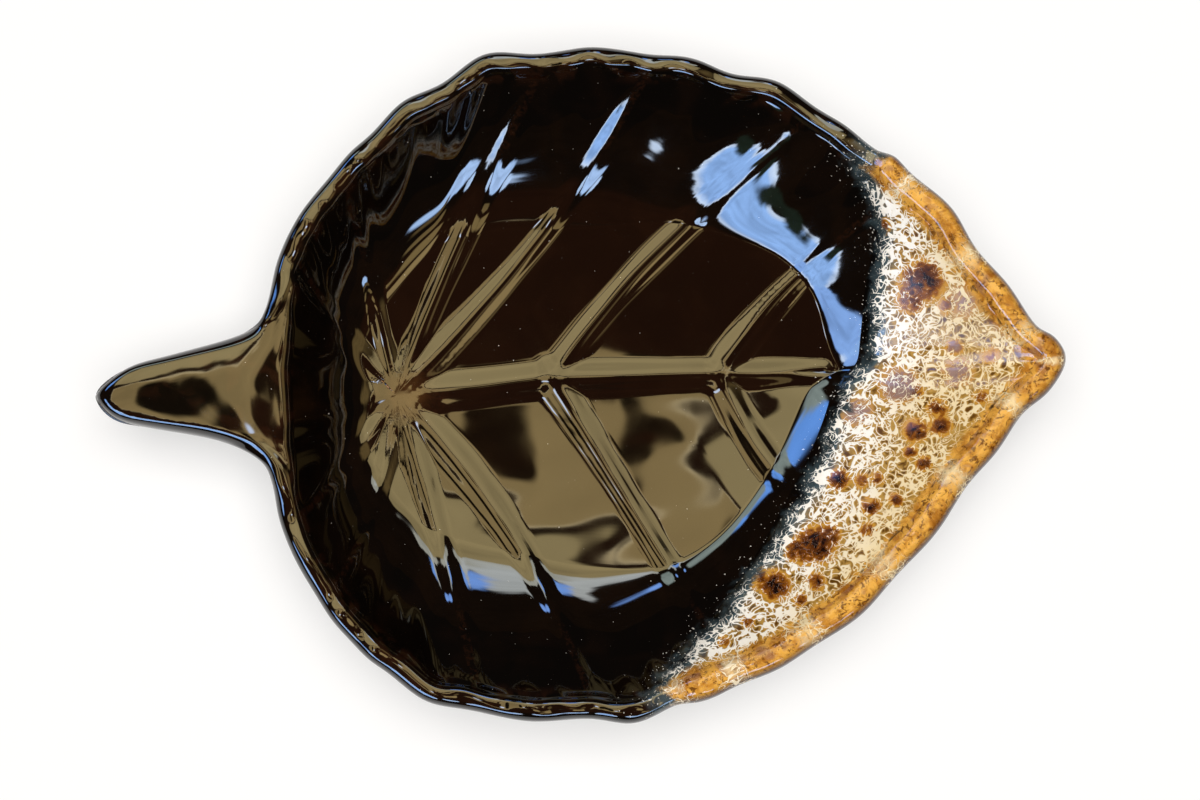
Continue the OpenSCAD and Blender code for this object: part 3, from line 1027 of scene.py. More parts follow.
@dataclass(frozen=True)
class GlazeFinish(Finish):
    """Lead glaze melted on the clay, alone or with froth poured over it.

    Where froth covers it, cream crystals lie in amber glass as fine curled threads, broken by
    eyes where bubbles burst, and thin to honey glass on the lip.
    """

    # Clear deep glass: it is near black where thick and red brown where thin, and it mirrors
    # sharply. The crystals are pale and duller.
    name: str
    body: str = "#050302"
    body_warm: str = "#0d0603"
    break_colour: str = "#221007"
    # Amber at the hub: partly thin glaze on the raised hub, partly a painted highlight.
    hub_amber_and_highlight: str = "#3c2510"
    thread: str = "#fffaf0"
    thread_warm: str = "#edd5a0"
    gold: str = "#bd9448"
    # Brown painted as shade in the pits between the threads.
    pit_shade: str = "#5e3b10"
    honey: str = "#e3a848"
    amber: str = "#b97a29"
    amber_glass: str = "#cb9436"
    rust: str = "#8f5213"
    brown: str = "#582b08"
    core: str = "#1c0903"
    plum: str = "#a0857c"
    plum_deep: str = "#5e4548"
    mist: str = "#4c5f66"
    # Mauve painted reflection along the top of the lip.
    mauve_reflection: str = "#8d6658"
    glow: str = "#fde9b8"
    edge_brown: str = "#3d1c07"
    roughness: float = 0.03
    froth_roughness: float = 0.2
    thread_roughness: float = 0.15
    thread_height: float = 0.25
    thread_bump: float = 0.6
    sheen: tuple[float, float] = (0.7, 1.5)
    ior: float = 1.63
    # Specks and threads are drawn coarser than the finest real ones, so that they show.
    marks: ClassVar[dict[str, Mark]] = {
        "cloud": Mark(14.0, 4.0, 0.6), "streak": Mark(1.6, 4.0, 0.8, 0.65),
        "patch": Mark(6.0, 3.0, 0.8), "hub": Mark(3.0), "speck": Mark(0.55, 0.0, 0.0),
        "ragged": Mark(5.0, 4.0, 0.5, 0.65), "fuzz": Mark(2.2, 3.0, 1.2),
        "curl_a": Mark(3.3, 0.7, 0.5), "curl_b": Mark(2.5, 0.7, 0.9),
        "curl_c": Mark(4.4, 0.7, 1.3), "clump": Mark(6.5, 3.0, 0.6),
        "tone": Mark(3.4, 4.0, 0.8, 0.6), "mottle": Mark(5.2, 4.0, 0.6, 0.65),
        "fleck": Mark(1.5, 4.0, 0.7, 0.7), "sheen": Mark(9.0),
    }

    def make(self) -> bpy.types.Material:
        """Build the material.

        Returns:
            The new material.
        """
        material, tree, mark = self.start(self.name)
        pour = self._pour(tree, mark)
        ground = self.lay(tree, self._ground(pour), (Coat(pour.on_lip, 0.0, 1.0, self._rim(pour)),))
        ratio = add(tree, "Math", {0: pour.nearest, 1: self._width(pour)}, operation="DIVIDE")
        threads = add(tree, "MapRange", {0: ratio, 1: 1.0, 2: 0.5}, **SMOOTH)
        spread = add(tree, "MapRange", {0: pour.edge, 1: -0.22, 2: 0.02}, **SMOOTH)
        threads = add(tree, "Math", {0: threads, 1: spread}, operation="MULTIPLY")
        cream = self.lay(tree, self.thread, (
            Coat(pour.edge, 0.6, 2.4, self.thread_warm, 0.85),
            Coat(pour.on_lip, 0.0, 1.0, self.thread_warm, 0.6)))
        colour = self.lay(tree, self._dark(pour), (
            Coat(pour.edge, 0.0, 0.25, ground), Coat(threads, 0.0, 1.0, cream)))
        bump = add(tree, "Bump", {"Strength": self.thread_bump, "Height": threads,
                                  "Distance": self.thread_height * MM})
        least, most = (self.roughness * share for share in self.sheen)
        gloss = add(tree, "MapRange", {0: mark["sheen"], 1: 0.3, 2: 0.7, 3: least, 4: most})
        dull = add(tree, "MapRange", {0: pour.edge, 1: 0.0, 2: 0.4, 4: self.froth_roughness})
        off_lip = add(tree, "MapRange", {0: pour.on_lip, 3: 1.0, 4: 0.0})
        dull = add(tree, "Math", {0: dull, 1: off_lip, 2: gloss}, operation="MULTIPLY_ADD")
        dull = add(tree, "Math", {0: threads, 1: self.thread_roughness, 2: dull},
                   operation="MULTIPLY_ADD")
        shader = add(tree, "BsdfPrincipled", {
            "Base Color": colour, "Roughness": dull, "IOR": self.ior, "Normal": bump})
        add(tree, "OutputMaterial", {"Surface": shader})
        return material

    @staticmethod
    def _pour(tree: Tree, mark: dict[str, Socket]) -> Pour:
        """Work out the masks that the coats share.

        Args:
            tree: Node tree to add to.
            mark: The marks of the finish.

        Returns:
            The tree, marks, traits and masks.
        """
        trait = {t: add(tree, "Attribute", out="Fac", attribute_name=t.value) for t in Trait}
        edge = add(tree, "Math", {0: mark["ragged"], 1: 0.9, 2: trait[Trait.FROTH]},
                   operation="MULTIPLY_ADD")
        fuzz = add(tree, "MapRange", {0: mark["fuzz"], 1: 0.3, 2: 0.7, 3: 0.45, 4: 1.35})
        eye, plum = (add(tree, "Math", {0: trait[t], 1: fuzz}, operation="MULTIPLY")
                     for t in (Trait.CRATER, Trait.PLUM))
        heart = add(tree, "Math", {0: plum, 1: -0.5, 2: eye}, operation="MULTIPLY_ADD")
        on_lip = add(tree, "MapRange", {0: trait[Trait.LIP], 1: 0.6, 2: 1.05}, **SMOOTH)
        nearest = None
        for key in ("curl_a", "curl_b", "curl_c"):
            off = add(tree, "Math", {0: mark[key], 1: 0.5}, operation="SUBTRACT")
            fold = add(tree, "Math", {0: off}, operation="ABSOLUTE")
            nearest = fold if nearest is None else add(
                tree, "Math", {0: nearest, 1: fold}, operation="MINIMUM")
        return Pour(tree, mark, trait, edge, eye, plum, heart, on_lip, nearest)

    def _dark(self, pour: Pour) -> Socket:
        """Colour the dark glass by how thin it has run, with mist and specks beside the froth, and
        amber at the hub that is partly thin glaze and partly a painted highlight.

        Args:
            pour: Masks of the glaze.

        Returns:
            The colour.
        """
        tree, mark = pour.tree, pour.mark
        thin, lip = pour.trait[Trait.THIN], pour.trait[Trait.LIP]
        on_crest = add(tree, "MapRange", {0: thin, 1: 0.2, 2: 1.0}, **SMOOTH)
        streak = add(tree, "MapRange", {0: mark["streak"], 1: 0.38, 2: 0.66}, **SMOOTH)
        worn = add(tree, "Math", {0: on_crest, 1: streak}, operation="MULTIPLY")
        rise = add(tree, "MapRange", {0: lip, 1: 0.6, 2: 1.05}, **SMOOTH)
        fall = add(tree, "MapRange", {0: lip, 1: 2.0, 2: 1.3}, **SMOOTH)
        blot = add(tree, "MapRange", {0: mark["patch"], 1: 0.45, 2: 0.65}, **SMOOTH)
        bead = add(tree, "Math", {0: rise, 1: fall}, operation="MULTIPLY")
        bead = add(tree, "Math", {0: bead, 1: blot}, operation="MULTIPLY")
        run = add(tree, "Math", {0: worn, 1: bead}, operation="MAXIMUM")
        # Amber at the hub: partly thin glaze on the raised hub, partly a painted highlight.
        boss = add(tree, "MapRange", {0: mark["hub"], 1: 0.25, 2: 0.75, 3: 0.4})
        hub = add(tree, "MapRange", {0: thin, 1: 1.0, 2: 2.0})
        hub = add(tree, "Math", {0: hub, 1: boss}, operation="MULTIPLY")
        near = add(tree, "MapRange", {0: pour.edge, 1: -1.2, 2: -0.1, 4: 0.17})
        speck = add(tree, "Math", {0: mark["speck"], 1: near}, operation="ADD")
        haze = add(tree, "Math", {0: mark["patch"], 1: 0.8, 2: pour.edge}, operation="MULTIPLY_ADD")
        return self.lay(tree, self.body, (
            Coat(mark["cloud"], 0.42, 0.7, self.body_warm),
            Coat(run, 0.0, 1.0, self.break_colour, 0.7), Coat(hub, 0.0, 1.0, self.hub_amber_and_highlight),
            Coat(haze, 0.0, 0.55, self.mist, 0.6), Coat(speck, 0.87, 0.93, self.thread, 0.5)))

    @staticmethod
    def _width(pour: Pour) -> Socket:
        """Set the threads' width: full in the froth, thin at its border, in eyes and on the lip.

        Args:
            pour: Masks of the glaze.

        Returns:
            The width, in the measure of the folds that the threads follow.
        """
        tree = pour.tree
        width = add(tree, "MapRange", {0: pour.edge, 1: -0.2, 2: 0.25, 3: 0.006, 4: 0.05}, **SMOOTH)
        clump = add(tree, "MapRange", {0: pour.mark["clump"], 1: 0.3, 2: 0.7, 3: -0.026, 4: 0.014})
        outer = add(tree, "MapRange", {0: pour.edge, 1: 1.1, 2: 3.0, 4: -0.009})
        for change in (clump, outer):
            width = add(tree, "Math", {0: width, 1: change}, operation="ADD")
        notch = pour.trait[Trait.NOTCH]
        for mask, change in ((pour.heart, -0.095), (pour.on_lip, -0.058), (notch, 0.045)):
            width = add(tree, "Math", {0: mask, 1: change, 2: width}, operation="MULTIPLY_ADD")
        return add(tree, "Math", {0: width, 1: 0.0005}, operation="MAXIMUM")

    def _ground(self, pour: Pour) -> Socket:
        """Colour the glass between the threads: gold beside them, and brown in the eyes and away
        from the threads, where random tone mixes with painted shade in the pits.

        Args:
            pour: Masks of the glaze.

        Returns:
            The colour.
        """
        tree, eye, plum = pour.tree, pour.eye, pour.plum
        tone = add(tree, "MapRange", {0: pour.mark["tone"], 1: 0.35, 2: 0.75, 3: -0.25, 4: 0.35})
        # Painted shade: the glass darkens to brown the farther it lies from a thread, as if the
        # pits were shaded; tone adds random change.
        far = add(tree, "MapRange", {0: pour.nearest, 1: 0.03, 2: 0.15})
        depth = add(tree, "Math", {0: tone, 1: far}, operation="ADD")
        return self.lay(tree, self.gold, (
            Coat(depth, 0.0, 0.9, self.pit_shade), Coat(pour.edge, 0.6, 0.1, self.mist),
            Coat(eye, 0.06, 0.24, self.amber_glass), Coat(eye, 0.26, 0.46, self.rust),
            Coat(eye, 0.44, 0.68, self.brown), Coat(plum, 0.05, 0.5, self.plum, 0.85),
            Coat(plum, 0.4, 1.0, self.plum_deep, 0.8), Coat(pour.heart, 0.7, 0.95, self.core)))

    def _rim(self, pour: Pour) -> Socket:
        """Colour the tip's lip: honey mottled with brown, a mauve painted reflection along its top,
        cream at notches, dark at the edge.

        Args:
            pour: Masks of the glaze.

        Returns:
            The colour.
        """
        tree, mark, lip = pour.tree, pour.mark, pour.trait[Trait.LIP]
        gleam = add(tree, "Math", {0: pour.trait[Trait.NOTCH], 1: mark["tone"]},
                    operation="MULTIPLY")
        # Painted reflection: mauve streaks along the top of the lip, broken by patches.
        off = add(tree, "Math", {0: lip, 1: 1.35}, operation="SUBTRACT")
        off = add(tree, "Math", {0: off}, operation="ABSOLUTE")
        top = add(tree, "MapRange", {0: off, 1: 0.45, 2: 0.15}, **SMOOTH)
        painted_reflection_streak = add(tree, "Math", {0: top, 1: mark["patch"]}, operation="MULTIPLY")
        return self.lay(tree, self.honey, (
            Coat(mark["tone"], 0.42, 0.64, self.amber),
            Coat(mark["mottle"], 0.5, 0.68, self.rust, 0.75),
            Coat(painted_reflection_streak, 0.48, 0.66, self.mauve_reflection, 0.55),
            Coat(mark["fleck"], 0.53, 0.61, self.brown, 0.85),
            Coat(gleam, 0.25, 0.62, self.glow, 0.85), Coat(lip, 1.58, 1.86, self.edge_brown)))


@dataclass(frozen=True)
class ClayFinish(Finish):
    """Buff earthenware, bisque fired, left bare and sponged smooth."""

    # Fired clay scatters light evenly, so it looks dry and matt, with dark specks of grog.
    name: str = "bare_buff_clay"
    pale: str = "#c79a6c"
    dark: str = "#a87848"
    grog: str = "#6d4628"
    roughness: float = 0.85
    grain_height: float = 0.15
    grain_bump: float = 0.5
    marks: ClassVar[dict[str, Mark]] = {
        "cloud": Mark(18.0, 4.0, 0.4), "grain": Mark(0.9, 4.0, 0.0), "speck": Mark(1.3, 2.0, 0.0)}

    def make(self) -> bpy.types.Material:
        """Build the material.

        Returns:
            The new material.
        """
        material, tree, mark = self.start(self.name)
        colour = self.lay(tree, self.pale, (Coat(mark["cloud"], 0.3, 0.7, self.dark),
                                            Coat(mark["speck"], 0.66, 0.72, self.grog)))
        bump = add(tree, "Bump", {"Strength": self.grain_bump, "Height": mark["grain"],
                                  "Distance": self.grain_height * MM})
        shader = add(tree, "BsdfPrincipled", {
            "Base Color": colour, "Roughness": self.roughness, "Normal": bump})
        add(tree, "OutputMaterial", {"Surface": shader})
        return material


@dataclass(frozen=True)
class PaperFinish(Finish):
    """White seamless paper under the plate, a little lifted to white where it is seen."""

    # Uncoated paper is plain and matt, and takes a soft shadow.
    name: str = "white_floor_paper"
    white: str = "#fafafa"
    lift: float = 0.5

    def make(self) -> bpy.types.Material:
        """Build the material.

        Returns:
            The new material.
        """
        material, tree, _ = self.start(self.name)
        seen = add(tree, "LightPath", out="Is Camera Ray")
        rays = seen.node.outputs
        for other in ("Is Glossy Ray", "Is Transmission Ray"):
            seen = add(tree, "Math", {0: seen, 1: rays[other]}, operation="MAXIMUM")
        share = add(tree, "Math", {0: seen, 1: self.lift}, operation="MULTIPLY")
        paper = add(tree, "BsdfDiffuse", {"Color": self.white})
        light = add(tree, "Emission", {"Color": self.white, "Strength": 1.0})
        mixed = add(tree, "MixShader", {0: share, 1: paper, 2: light})
        add(tree, "OutputMaterial", {"Surface": mixed})
        return material


@dataclass(frozen=True)
class Patch:
    """One soft oval on the reflection card, in metres."""

    x: float
    y: float
    half_x: float
    half_y: float
    colour: str
    soft: float


@dataclass(frozen=True)
class CardFinish(Finish):
    """Painted card over the plate, seen only in the glass: warm above, cool to the front and left.

    The larger patches sway at their edges, so that the glass mirrors no plain ovals.
    """

    # Dull paint that shines by itself: soft panes of light and shade for the glass to mirror.
    name: str = "painted_reflection_card"
    dark: str = "#0c0704"
    strength: float = 14.5
    uneven: tuple[float, float] = (0.8, 1.2)
    sway: float = 0.3
    steady_size: float = 0.055
    patches: tuple[Patch, ...] = tuple(Patch(*row) for row in (
        (0.85, 0.12, 0.55, 0.25, "#544528", 0.35), (0.0, -0.3, 0.6, 0.5, "#1c0d06", 0.2),
        (-1.02, -1.4, 0.68, 0.9, "#cfe1fa", 0.03), (-1.02, -1.38, 0.62, 0.8, "#8fb8f2", 0.12),
        (-1.2, -0.45, 0.36, 0.28, "#86aeec", 0.1), (0.62, -1.32, 0.5, 0.34, "#a9c9f6", 0.12),
        (0.14, -0.95, 0.12, 0.14, "#b4d0f6", 0.15), (-1.25, -2.2, 0.18, 0.42, "#16211a", 0.3),
        (0.24, -0.27, 0.08, 0.08, "#83704a", 0.15), (0.38, -0.45, 0.09, 0.1, "#76643f", 0.15),
        (0.56, -0.66, 0.095, 0.12, "#6b5a38", 0.15), (0.8, -0.97, 0.1, 0.14, "#54452a", 0.2),
        (-1.15, 0.85, 0.36, 0.28, "#5f92de", 0.2), (-0.75, 1.0, 0.3, 0.3, "#7b8783", 0.2),
        (0.0, 0.68, 0.36, 0.14, "#9a9a90", 0.1), (0.05, 1.0, 0.09, 0.34, "#a3a7a6", 0.2),
        (0.18, 1.05, 0.08, 0.2, "#6f97dc", 0.3), (-0.24, 1.53, 0.09, 0.14, "#6f97dc", 0.3),
        (-0.09, 1.08, 0.1, 0.22, "#0c0704", 0.25), (-0.1, 0.39, 0.52, 0.25, "#8a7b56", 0.05),
        (-0.12, 0.02, 0.44, 0.225, "#170d07", 0.04), (-0.12, 0.02, 0.42, 0.195, "#b9a882", 0.03),
        (-0.12, 0.02, 0.41, 0.19, "#83704a", 0.03), (0.05, -0.03, 0.24, 0.15, "#1c0d06", 0.06),
        (0.17, -0.13, 0.06, 0.05, "#54452a", 0.3), (-0.31, 0.05, 0.05, 0.15, "#0c0804", 0.15),
        (-0.2, -0.05, 0.05, 0.03, "#c9d6ee", 0.3), (-0.075, 0.125, 0.03, 0.035, "#140b05", 0.3),
        (0.034, 0.125, 0.014, 0.018, "#0c0804", 0.3),
    ))
    marks: ClassVar[dict[str, Mark]] = {
        "sway": Mark(420.0, 5.0, 0.0, 0.6), "cloud": Mark(240.0, 3.0, 0.4, 0.5)}

    def make(self) -> bpy.types.Material:
        """Build the material.

        Returns:
            The new material.
        """
        material, tree, mark = self.start(self.name)
        off = add(tree, "VectorMath", {0: mark["sway"].node.outputs["Color"], 1: (0.5, 0.5, 0.5)},
                  operation="SUBTRACT")
        swayed = add(tree, "VectorMath", {0: off, 1: (self.sway, self.sway, 0.0), 2: mark["place"]},
                     operation="MULTIPLY_ADD")
        coats = []
        for patch in self.patches:
            inside = add(tree, "Mapping", {
                "Vector": swayed if patch.half_x > self.steady_size else mark["place"],
                "Location": (patch.x, patch.y, CARD_HEIGHT),
                "Scale": (patch.half_x, patch.half_y, 1.0)}, vector_type="TEXTURE")
            away = add(tree, "VectorMath", {0: inside}, "Value", operation="LENGTH")
            coats.append(Coat(away, 1.0 + patch.soft, 1.0 - patch.soft, patch.colour))
        least, most = (self.strength * share for share in self.uneven)
        glow = add(tree, "MapRange", {0: mark["cloud"], 1: 0.3, 2: 0.7, 3: least, 4: most})
        colour = self.lay(tree, self.dark, tuple(coats))
        light = add(tree, "Emission", {"Color": colour, "Strength": glow})
        add(tree, "OutputMaterial", {"Surface": light})
        return material


@dataclass
class FrothCover:
    """Where the froth lies over the tip, worked out for points of the plate."""

    plan: LeafPlan
    fade: float = 9.0
    halo: float = 1.3
    border: float = 0.45
    least: float = -2.0
    most: float = 3.0
    run_down: float = 8.0
    gleam_down: float = 3.0

    def depth(self, rings: np.ndarray) -> np.ndarray:
        """Give how far inside the froth's border each point lies, in millimetres.

        Args:
            rings: Points by ring and sector.

        Returns:
            Distances, negative on the dark side.
        """
        off = rings[..., :2] - self.plan.inner[None]
        inward = (off * unit(self.plan.start - self.plan.inner)[None]).sum(axis=2)
        return self.plan.froth[None] - np.where(inward > 0, span(off), 0.0)

    def traits(self, rings: np.ndarray, lip_share: np.ndarray,
               thin: np.ndarray) -> dict[Trait, np.ndarray]:
        """Gather the attributes that the glazes read.

        Args:
            rings: Points by ring and sector.
            lip_share: How much each point belongs to the lip.
            thin: How thin the dark glaze has run.

        Returns:
            Values by ring and sector for each trait.
        """
        froth = np.clip(self.depth(rings) / self.fade, self.least, self.most) - self.border
        crater, plum = np.zeros(rings.shape[:2]), np.zeros(rings.shape[:2])
        for eye in CRATERS:
            gap = np.hypot(rings[..., 0] - eye.x, rings[..., 1] - eye.y) / (eye.radius * self.halo)
            depth = eye.depth * (1.0 - ease(gap))
            crater, plum = np.maximum(crater, depth), np.maximum(plum, depth * eye.tint)
        notch = self.plan.dip[None] ** 2 * ease(lip_share)
        return {Trait.FROTH: froth, Trait.CRATER: crater, Trait.PLUM: plum, Trait.LIP: lip_share,
                Trait.NOTCH: notch, Trait.THIN: thin}

    def run_out(self, traits: dict[Trait, np.ndarray], below: np.ndarray) -> None:
        """Thin the froth out below the outer edge, and the pale notches sooner.

        Args:
            traits: Values by ring and sector, changed in place.
            below: How far each point lies below the outer edge, in millimetres.
        """
        kept = ease(1.0 - below / self.run_down)
        traits[Trait.FROTH] = mix(self.least - self.border, traits[Trait.FROTH], kept)
        traits[Trait.NOTCH] = traits[Trait.NOTCH] * ease(1.0 - below / self.gleam_down)


@dataclass
class GlazedLeaf:
    """The plate: its clay, its foot and its three glazes, in millimetres and steps of its grid."""

    surface: DishSurface
    glaze: float = 0.5
    froth_thickness: float = 0.8
    froth_seat: float = 0.1
    froth_least: float = 0.02
    froth_hollow: float = 0.3
    froth_border: float = 7.0
    froth_end: float = 3.0
    froth_top: float = 0.97
    froth_end_sectors: int = 10
    froth_steps: int = 96
    floor_steps: int = 54
    wall_steps: int = 38
    lip_steps: int = 28
    lip_lead: int = 6
    under_lip_steps: int = 10
    froth_under_steps: int = 8
    outer_steps: int = 22
    inside_back: int = 30
    outside_back: int = 16
    clay_top: int = 60
    clay_under: int = 22
    clay_base: tuple[float, ...] = (0.02, 0.3, 0.6, 0.9, 1.0)
    foot_sides: int = 160
    foot_bevel: float = 0.5
    foot_segments: int = 3
    foot_sharp: float = 50.0
    foot_smooth: float = 35.0
    fold_limit: float = -0.3
    worn_from: float = 0.55
    worn_run: float = 0.4
    floor_wear: float = 0.15
    wear_lift: float = 1.0
    wear_rise: float = 10.0
    hub_shift: float = 3.0
    hub_patch: float = 15.0

    def __post_init__(self) -> None:
        """Sample the finished surface once for all the pieces."""
        self.top = self.surface.top_rings(self.floor_steps, self.wall_steps, self.lip_steps)
        under = self.surface.under_rings(self.under_lip_steps, self.outer_steps)
        self.whole = np.concatenate([self.top, under])
        normals = grid_normals(self.whole)
        normals[0] = (0.0, 0.0, 1.0)
        normals[-1] = unit(self.whole[-1] - self.whole[-1].mean(axis=0))
        outline = self.surface.plan.outer
        away = -unit(turned(np.roll(outline, -1, axis=0) - np.roll(outline, 1, axis=0)))
        # The grid folds at the root of the stem, so normals that point inwards are turned back.
        outer_lip = normals[len(self.top) - self.lip_steps // 2:len(self.top)]
        outer_lip[(outer_lip[..., :2] * away).sum(axis=2) < self.fold_limit] *= -1.0
        self.normals = normals
        self.bare = self.whole - normals * self.glaze
        self.cover = FrothCover(self.surface.plan)

    def lip_share(self, rows: np.ndarray) -> np.ndarray:
        """Say where rows lie: 0 on the wall, 1 where the lip starts and 2 at its outer edge.

        Args:
            rows: Rows of the grid, or places between them.

        Returns:
            One value for each row.
        """
        step = rows - self.floor_steps - self.wall_steps
        shares = (step / self.lip_lead + 1.0, step / self.lip_steps)
        return sum(np.clip(share, 0.0, 1.0) for share in shares)

    def thinness(self, rings: np.ndarray) -> np.ndarray:
        """Say how thin the dark glaze runs over ribs on the wall, and where amber goes at the hub,
        partly for thin glaze on the raised hub and partly as a painted highlight.

        Args:
            rings: Points by ring and sector.

        Returns:
            Values by ring and sector, 1 on a bare crest and up to 2 more at the hub.
        """
        surface = self.surface
        crests = surface.crests(rings[..., :2].reshape(-1, 2)).reshape(rings.shape[:2])
        up_wall = ease((rings[..., 2] - surface.wall_foot_z - self.wear_lift) / self.wear_rise)
        hub = surface.plan.hub + (self.hub_shift, 0.0)
        # The hub's share is partly thin glaze and partly a painted highlight.
        near = 1.0 - ease(span(rings[..., :2] - hub) / self.hub_patch)
        worn = ease((crests - self.worn_from) / self.worn_run)
        return worn * mix(self.floor_wear, 1.0, up_wall) + 2.0 * near

    @staticmethod
    def picked_rows(first: int, last: int, count: int) -> np.ndarray:
        """Pick evenly spaced rows of the grid."""
        return np.linspace(first, last, count).round().astype(int)

    def inside_glaze(self) -> bpy.types.Object:
        """Build the glass coat of the bowl, the lip and the top of the stem.

        Returns:
            The new piece.
        """
        share = self.lip_share(np.arange(len(self.top), dtype=float))
        share = np.repeat(share[:, None], self.top.shape[1], axis=1)
        traits = self.cover.traits(self.top, share, self.thinness(self.top))
        back = self.picked_rows(len(self.top) - 1, 0, self.inside_back)
        rings = np.concatenate([self.top, self.bare[back]])
        full = {k: np.concatenate([v, v[back]]) for k, v in traits.items()}
        return loft("inside_glaze_coat", rings, full)

    def outside_glaze(self) -> bpy.types.Object:
        """Build the glass coat of the outer wall and the under side of the stem.

        Returns:
            The new piece.
        """
        outer = self.whole[len(self.top) - 1:]
        bare = self.bare[len(self.top) - 1:]
        back = self.picked_rows(len(outer) - 1, 0, self.outside_back)
        none = np.zeros(outer.shape[:2])
        traits = self.cover.traits(outer, none + 2.0, none)
        self.cover.run_out(traits, outer[:1, :, 2] - outer[..., 2])
        traits[Trait.CRATER] = none
        rings = np.concatenate([outer, bare[back], outer[:1]])
        full = {k: np.concatenate([v, v[back], v[:1]]) for k, v in traits.items()}
        return loft("outside_glaze_coat", rings, full)

    def tip_glaze(self) -> bpy.types.Object:
        """Build the thick froth poured over the tip, from its border on the slope to below the lip.

        Returns:
            The new piece.
        """
        plan = self.surface.plan
        border = np.clip(1.0 - plan.froth / plan.run, 0.0, self.froth_top)
        border = border * self.wall_steps + self.floor_steps
        last = len(self.top) + self.froth_under_steps - 1
        shares = np.linspace(0.0, 1.0, self.froth_steps)
        spot = np.stack([mix(border, float(last), f) for f in shares])
        low, share = np.floor(spot).astype(int), (spot % 1.0)[..., None]
        high, column = np.minimum(low + 1, last), np.arange(spot.shape[1])[None]
        rings = mix(self.whole[low, column], self.whole[high, column], share)
        normals = unit(mix(self.normals[low, column], self.normals[high, column], share))
        traits = self.cover.traits(rings, self.lip_share(spot), np.zeros(spot.shape))
        below = self.top[-1:, :, 2] - rings[..., 2]
        self.cover.run_out(traits, np.where(spot >= len(self.top), below, 0.0))
        dark = plan.froth <= 0.0
        sectors = np.arange(-int(np.argmax(dark[::-1])), int(np.argmax(dark))) % rings.shape[1]
        rings, normals = rings[:, sectors], normals[:, sectors]
        traits = {k: v[:, sectors] for k, v in traits.items()}
        thick = self.froth_depth(rings, traits[Trait.CRATER])
        poured = rings + normals * thick[..., None]
        seat = rings - normals * self.froth_seat
        shell = np.concatenate([poured, seat[-2::-1]])
        full = {k: np.concatenate([v, v[-2::-1]]) for k, v in traits.items()}
        return loft("tip_froth_pour", shell, full, closed=False)

    def froth_depth(self, rings: np.ndarray, crater: np.ndarray) -> np.ndarray:
        """Say how far the froth stands over the dark glaze, in millimetres.

        Args:
            rings: Points of the froth by row and sector.
            crater: How deep the eyes are there.

        Returns:
            Values by row and sector, at the froth's seat all round its border.
        """
        away = span(np.diff(rings, axis=0))
        along = np.concatenate([np.zeros((1, rings.shape[1])), np.cumsum(away, axis=0)])
        sector = np.arange(rings.shape[1])
        ends = ease(np.minimum(sector, sector[::-1]) / self.froth_end_sectors)[None]
        body = ease(along / self.froth_border) * ease((along[-1:] - along) / self.froth_end) * ends
        full = self.froth_thickness + self.froth_seat - self.froth_hollow * crater
        thick = body * full - self.froth_seat
        thick[1:-1, 1:-1] = np.maximum(thick[1:-1, 1:-1], self.froth_least - self.froth_seat)
        return thick

    def clay_body(self) -> bpy.types.Object:
        """Build the clay under the glazes, with its flat base.

        Returns:
            The new piece.
        """
        top = self.picked_rows(0, len(self.top) - 1, self.clay_top)
        low = self.picked_rows(len(self.top), len(self.bare) - 1, self.clay_under)
        base = self.bare[-1]
        flat = np.array([mix(base, base.mean(axis=0), f) for f in self.clay_base])
        rings = np.concatenate([self.bare[top], self.bare[low], flat])[:, ::2]
        return loft("clay_leaf", rings, {})

    def foot_pad(self) -> bpy.types.Object:
        """Build the bare foot with its softened edges.

        Returns:
            The new piece.
        """
        height = self.surface.foot_height * MM
        low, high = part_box("foot_pad")
        bpy.ops.object.select_all(action="DESELECT")
        bpy.ops.mesh.primitive_cylinder_add(
            vertices=self.foot_sides, radius=1.0, depth=height,
            location=((low[0] + high[0]) / 2, (low[1] + high[1]) / 2, height / 2),
            scale=((high[0] - low[0]) / 2, (high[1] - low[1]) / 2, 1.0))
        piece = bpy.context.object
        piece.name = piece.data.name = "bare_foot"
        bpy.ops.object.transform_apply(location=True, rotation=True, scale=True)
        bpy.ops.object.mode_set(mode="EDIT")
        bpy.ops.mesh.select_all(action="SELECT")
        bpy.ops.mesh.dissolve_limited(angle_limit=0.01)
        bpy.ops.object.mode_set(mode="OBJECT")
        bevel = piece.modifiers.new("worn_edge", "BEVEL")
        bevel.width = self.foot_bevel * MM
        bevel.segments = self.foot_segments
        bevel.angle_limit = math.radians(self.foot_sharp)
        bpy.ops.object.modifier_apply(modifier=bevel.name)
        bpy.ops.object.shade_smooth_by_angle(angle=math.radians(self.foot_smooth))
        return piece

    def build(self) -> None:
        """Build and dress every piece and hand it to the frame."""
        dark = GlazeFinish("dark_lead_glaze").make()
        # The crystals of the froth mirror less than the clear glass.
        froth = GlazeFinish("cream_froth_glaze", ior=1.45).make()
        clay = ClayFinish().make()
        for maker, node, slot, material in (
                (self.clay_body, "clay_body", Slot.BARE_CLAY, clay),
                (self.foot_pad, "foot_pad", Slot.BARE_CLAY, clay),
                (self.inside_glaze, "inside_glaze", Slot.DARK_GLAZE, dark),
                (self.outside_glaze, "outside_glaze", Slot.DARK_GLAZE, dark),
                (self.tip_glaze, "tip_glaze", Slot.FROTH_GLAZE, froth)):
            piece = maker()
            piece.data.materials.clear()
            piece.data.materials.append(material)
            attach(piece, "root")
            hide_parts(node)
            LOG.info("%s: %d faces", piece.name, len(piece.data.polygons))


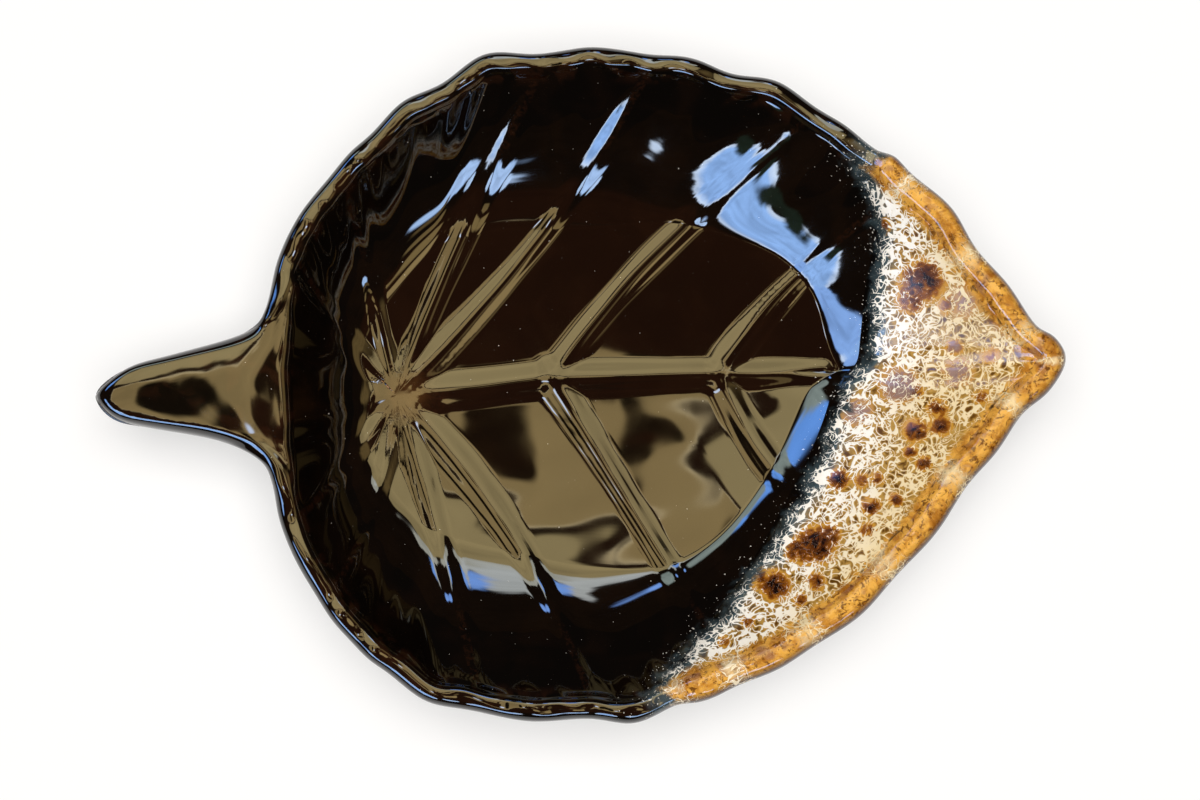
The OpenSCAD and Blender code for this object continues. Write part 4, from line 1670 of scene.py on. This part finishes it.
@dataclass
class Studio:
    """Floor, card, lamp and camera, in metres and watts."""

    target: tuple[float, float, float] = (0.0049, -0.0046, 0.030)
    lens: float = 85.0
    image_width: float = 0.2985
    elevation: float = 85.5
    light: float = 50.0
    light_colour: str = "#fffcf8"
    light_size: float = 1.6
    light_height: float = 1.9
    room: str = "#2a2622"
    plane_size: float = 6.0
    floor_gap: float = 0.0002

    def build(self) -> None:
        """Set up the whole studio."""
        scene = bpy.context.scene
        scene.view_settings.view_transform = "Standard"
        self._world(scene)
        self._plane("studio_floor", -self.floor_gap, PaperFinish().make())
        card = self._plane("reflection_card", CARD_HEIGHT, CardFinish().make())
        card.visible_camera = card.visible_diffuse = card.visible_shadow = False
        self._lamp(scene)
        self._camera(scene)

    def _world(self, scene: bpy.types.Scene) -> None:
        """Give the room a dim warm grey.

        Args:
            scene: Scene to set it in.
        """
        world = bpy.data.worlds.new("dim_room")
        world.use_nodes = True
        world.node_tree.nodes["Background"].inputs["Color"].default_value = linear(self.room)
        scene.world = world

    def _plane(self, name: str, height: float, material: bpy.types.Material) -> bpy.types.Object:
        """Lay the white floor, or hang the painted card that only the glass mirrors.

        Args:
            name: Name of the plane.
            height: How high it lies, in metres.
            material: Its finish.

        Returns:
            The plane.
        """
        bpy.ops.object.select_all(action="DESELECT")
        bpy.ops.mesh.primitive_plane_add(size=self.plane_size, location=(0.0, 0.0, height))
        plane = bpy.context.object
        bpy.ops.object.transform_apply(location=True, rotation=False, scale=False)
        plane.name = name
        plane.data.materials.append(material)
        return plane

    def _lamp(self, scene: bpy.types.Scene) -> None:
        """Hang the one wide soft box that lights the plate.

        Args:
            scene: Scene to hang it in.
        """
        data = bpy.data.lights.new("soft_box", "AREA")
        data.shape = "RECTANGLE"
        data.size = data.size_y = self.light_size
        data.energy = self.light
        data.color = linear(self.light_colour)[:3]
        lamp = bpy.data.objects.new("soft_box", data)
        lamp.location = (0.0, 0.0, self.light_height)
        lamp.visible_glossy = False
        scene.collection.objects.link(lamp)

    def _camera(self, scene: bpy.types.Scene) -> None:
        """Look down on the plate as the photograph does.

        Args:
            scene: Scene to look at.
        """
        data = bpy.data.cameras.new("camera")
        data.lens = self.lens
        data.sensor_width = SENSOR
        camera = bpy.data.objects.new("camera", data)
        distance = self.image_width * self.lens / SENSOR
        tilt = math.radians(self.elevation)
        target = Vector(self.target)
        camera.location = target + distance * Vector((0.0, -math.cos(tilt), math.sin(tilt)))
        camera.rotation_euler = (target - camera.location).to_track_quat("-Z", "Y").to_euler()
        scene.collection.objects.link(camera)
        scene.camera = camera


def main() -> None:
    """Build the plate and its studio."""
    logging.basicConfig(level=logging.INFO, format="%(name)s %(message)s")
    GlazedLeaf(DishSurface(LeafPlan())).build()
    Studio().build()


if __name__ == "__main__":
    main()
